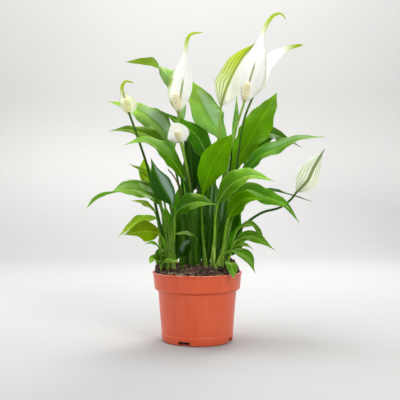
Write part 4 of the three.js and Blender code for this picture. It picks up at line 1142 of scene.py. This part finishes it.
def spadix_material(name, gap, floret, speck):
    """Florets with darker gaps between them, and darker specks here and there."""
    n = Nodes(name)
    colour = n.mix(n.step(n.marks("place")[1], 0.05, 0.75), gap, floret)
    colour = n.mix(n.step(n.noise(500, 2), 0.5, 0.66, 0.0, 0.5), colour, speck)
    return n.finish(n.surface(
        colour, 0.7, {"Normal": n.bump(n.noise(1600, 2), 0.0003, 0.6)}, depth=(0.2, 0.002, 0.002, 0.001)))


def pot_material():
    """Terracotta-coloured plastic: flow marks down the wall, fine grain, a scuffed lip and a dusty foot."""
    n = Nodes("pot_plastic")
    height = n.parts(n.place())[2]
    streaks, clouds = n.noise(260, 3, (1, 1, 0.02)), n.noise(28, 3)
    scuff = n.times(n.step(height, 0.0898, 0.0909), n.step(n.noise(300, 4), 0.42, 0.6))
    dust = n.times(n.step(height, 0.014, 0.0), n.step(n.noise(180, 4), 0.45, 0.7))
    colour = n.mix(n.step(streaks, 0.3, 0.7), POT_PAINT["dark"], POT_PAINT["light"])
    colour = n.mix(n.step(clouds, 0.35, 0.7, 0.0, 0.35), colour, POT_PAINT["cloud"])
    colour = n.mix(n.times(scuff, 0.7), colour, POT_PAINT["scuff"])
    colour = n.mix(n.times(dust, 0.35), colour, POT_PAINT["dust"])
    normal = n.bump(n.math("MULTIPLY_ADD", streaks, 0.7, n.noise(1400, 2)), 0.00025, 0.45)
    return n.finish(n.surface(
        colour, n.step(clouds, 0.3, 0.7, 0.32, 0.42), {"Specular IOR Level": 0.6, "Normal": normal},
        depth=(0.1, 0.004, 0.002, 0.001)))


def peat_material(name, crumbs):
    n = Nodes(name)
    grain = n.noise(700, 5)
    colour = n.mix(n.step(grain, 0.38, 0.62), PEAT_PAINT["dark"], PEAT_PAINT["light"])
    if crumbs:
        shade = n.marks("place")[0]
        colour = n.mix(n.times(shade, 0.8), colour, PEAT_PAINT["crumb"])
        colour = n.mix(n.step(shade, 1.4, 1.6), colour, PEAT_PAINT["chip"])
    return n.finish(n.surface(colour, 0.95, {"Normal": n.bump(grain, 0.0012, 0.9)}))


def stage_material():
    """Pale paint, a little darker on the floor, where more light falls, so that both look alike."""
    n = Nodes("stage_paint")
    height = n.parts(n.place())[2]
    tone = n.mix(n.step(height, -0.05, 0.38), STAGE_PAINT["low"], STAGE_PAINT["high"])
    tone = n.mix(n.step(n.noise(2, 2), 0.3, 0.7, 0.0, 0.1), tone, STAGE_PAINT["cloud"])
    return n.finish(n.surface(tone, 0.95, {"Specular IOR Level": 0.1}))


# ---- dressing the part

SLOTS = {sub["node"]: sub["material_slot"] for sub in frame["record"]["subparts"]}


def dress(piece, material, slot, *nodes):
    """Gives a piece its material and lets it stand for these CAD nodes."""
    piece.data.materials.clear()
    piece.data.materials.append(material)
    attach(piece, "root")
    if nodes:
        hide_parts(*nodes)


def build_leaves():
    materials = {look: leaf_material(f"leaf_{look}", values) for look, values in LOOKS.items()}
    for name, leaf in LEAVES.items():
        node = f"leaf_{name}"
        piece = leaf_piece(f"fine_{node}", leaf, FINE["blade_cells"])
        dress(piece, materials[leaf["look"]], SLOTS[node], node)
    for node, leaves in SPRIGS.items():
        parts = [leaf_piece(f"{node}_{i}", leaf, FINE["sprig_cells"]) for i, leaf in enumerate(leaves)]
        dress(joined(f"fine_{node}", parts), materials[leaves[0]["look"]], SLOTS[node], node)


def build_flowers():
    stalks = {look: stalk_material(f"stalk_{look}", *paint) for look, paint in STALK_LOOKS.items()}
    spathes = {look: spathe_material(f"spathe_skin_{look}", PLAIN_SPATHE | values)
               for look, values in SPATHE_LOOKS.items()}
    spadices = {look: spadix_material(f"spadix_{look}", *paint) for look, paint in SPADIX_LOOKS.items()}
    for name, flower in FLOWERS.items():
        root, stalk = flower["root"], flower["stalk"]
        top, rise = stalk_top(root, stalk)
        spike = spadices[flower.get("spike", "cream")]
        pieces = dict(
            stalk=(stalk_piece(f"fine_stalk_{name}", root, stalk), stalks[flower["tone"]]),
            spathe=(spathe_piece(f"fine_spathe_{name}", top, rise, flower["spathe"]), spathes[name]),
            spadix=(spadix_piece(f"fine_spadix_{name}", top, **flower["spadix"]), spike))
        for kind, (piece, material) in pieces.items():
            node = f"{kind}_{name}"
            dress(piece, material, SLOTS[node], node)
    dried = stalk_piece("fine_stalk_dried", **DRIED_STALK)
    dress(dried, stalks["dry"], SLOTS["stalk_dried"], "stalk_dried")


def build_pot():
    dress(pot_piece(), pot_material(), SLOTS["pot"], "pot")
    dress(soil_piece(), peat_material("peat_bed", False), SLOTS["soil"], "soil")
    dress(crumbs_piece(random.Random(CRUMBS["seed"])), peat_material("peat_crumb", True), SLOTS["soil"])


# ---- stage, lights and camera, in metres

CAMERA = dict(sensor=36, lens=58.2, place=(0.0036, -0.863, 0.186))
STAGE = dict(front=-2.6, back=1.7, bend=0.6, high=3.2, half_width=3.5, bend_steps=12)
SKY = dict(colour=(0.97, 0.985, 1, 1), strength=0.4)
LAMPS = {
    "key": dict(place=(0.9, -1.3, 1.1), target=(0, 0, 0.2), size=0.5, power=15),
    "fill": dict(place=(-1.3, -0.9, 0.6), target=(0, 0, 0.2), size=0.9, power=4, colour=(1, 0.99, 0.96)),
    "top": dict(place=(-0.5, -0.1, 2.1), target=(0, 0, 0.25), size=1.0, power=18),
    "window": dict(place=(-1.1, 0.5, 0.9), target=(0, 0, 0.28), size=0.6, power=7, colour=(0.86, 0.94, 1)),
    "back": dict(place=(0.4, 1.0, 1.0), target=(0, 0, 0.28), size=0.8, power=12),
    "wall": dict(place=(0, 0.7, 2.4), target=(0, 1.7, 0.6), size=1.4, power=40),
}


def build_stage():
    """A pale floor that curves up into a wall."""
    back, bend, steps, wide = STAGE["back"], STAGE["bend"], STAGE["bend_steps"], STAGE["half_width"]
    curve = [(STAGE["front"], 0.0), (back - bend, 0.0)]
    for step in range(1, steps + 1):
        angle = math.radians(90 * step / steps)
        curve.append((back - bend + bend * math.sin(angle), bend - bend * math.cos(angle)))
    curve.append((back, STAGE["high"]))
    points = [(x / MM, y / MM, z / MM) for y, z in curve for x in (-wide, wide)]
    faces = [(2 * i, 2 * i + 1, 2 * i + 3, 2 * i + 2) for i in range(len(curve) - 1)]
    stage = piece_of("stage", points, faces, crease=CREASE["none"])
    stage.data.materials.append(stage_material())


def area_light(name, place, target, size, power, colour=(1, 1, 1)):
    light = bpy.data.lights.new(name, "AREA")
    light.shape, light.size, light.energy, light.color = "DISK", size, power, colour
    lamp = bpy.data.objects.new(name, light)
    lamp.location = place
    lamp.rotation_euler = (Vector(target) - Vector(place)).to_track_quat("-Z", "Y").to_euler()
    bpy.context.scene.collection.objects.link(lamp)


def build_lights():
    world = bpy.data.worlds.new("studio")
    bpy.context.scene.world = world
    world.use_nodes = True
    sky = world.node_tree.nodes["Background"]
    sky.inputs["Color"].default_value, sky.inputs["Strength"].default_value = SKY["colour"], SKY["strength"]
    for name, lamp in LAMPS.items():
        area_light(name, **lamp)


def build_camera():
    camera = bpy.data.cameras.new("camera")
    camera.sensor_width, camera.lens = CAMERA["sensor"], CAMERA["lens"]
    eye = bpy.data.objects.new("camera", camera)
    eye.location = CAMERA["place"]
    eye.rotation_euler = (math.radians(90), 0, 0)
    bpy.context.scene.collection.objects.link(eye)
    bpy.context.scene.camera = eye


build_camera()
build_pot()
build_leaves()
build_flowers()
build_stage()
build_lights()
bpy.context.scene.view_settings.view_transform = "Standard"
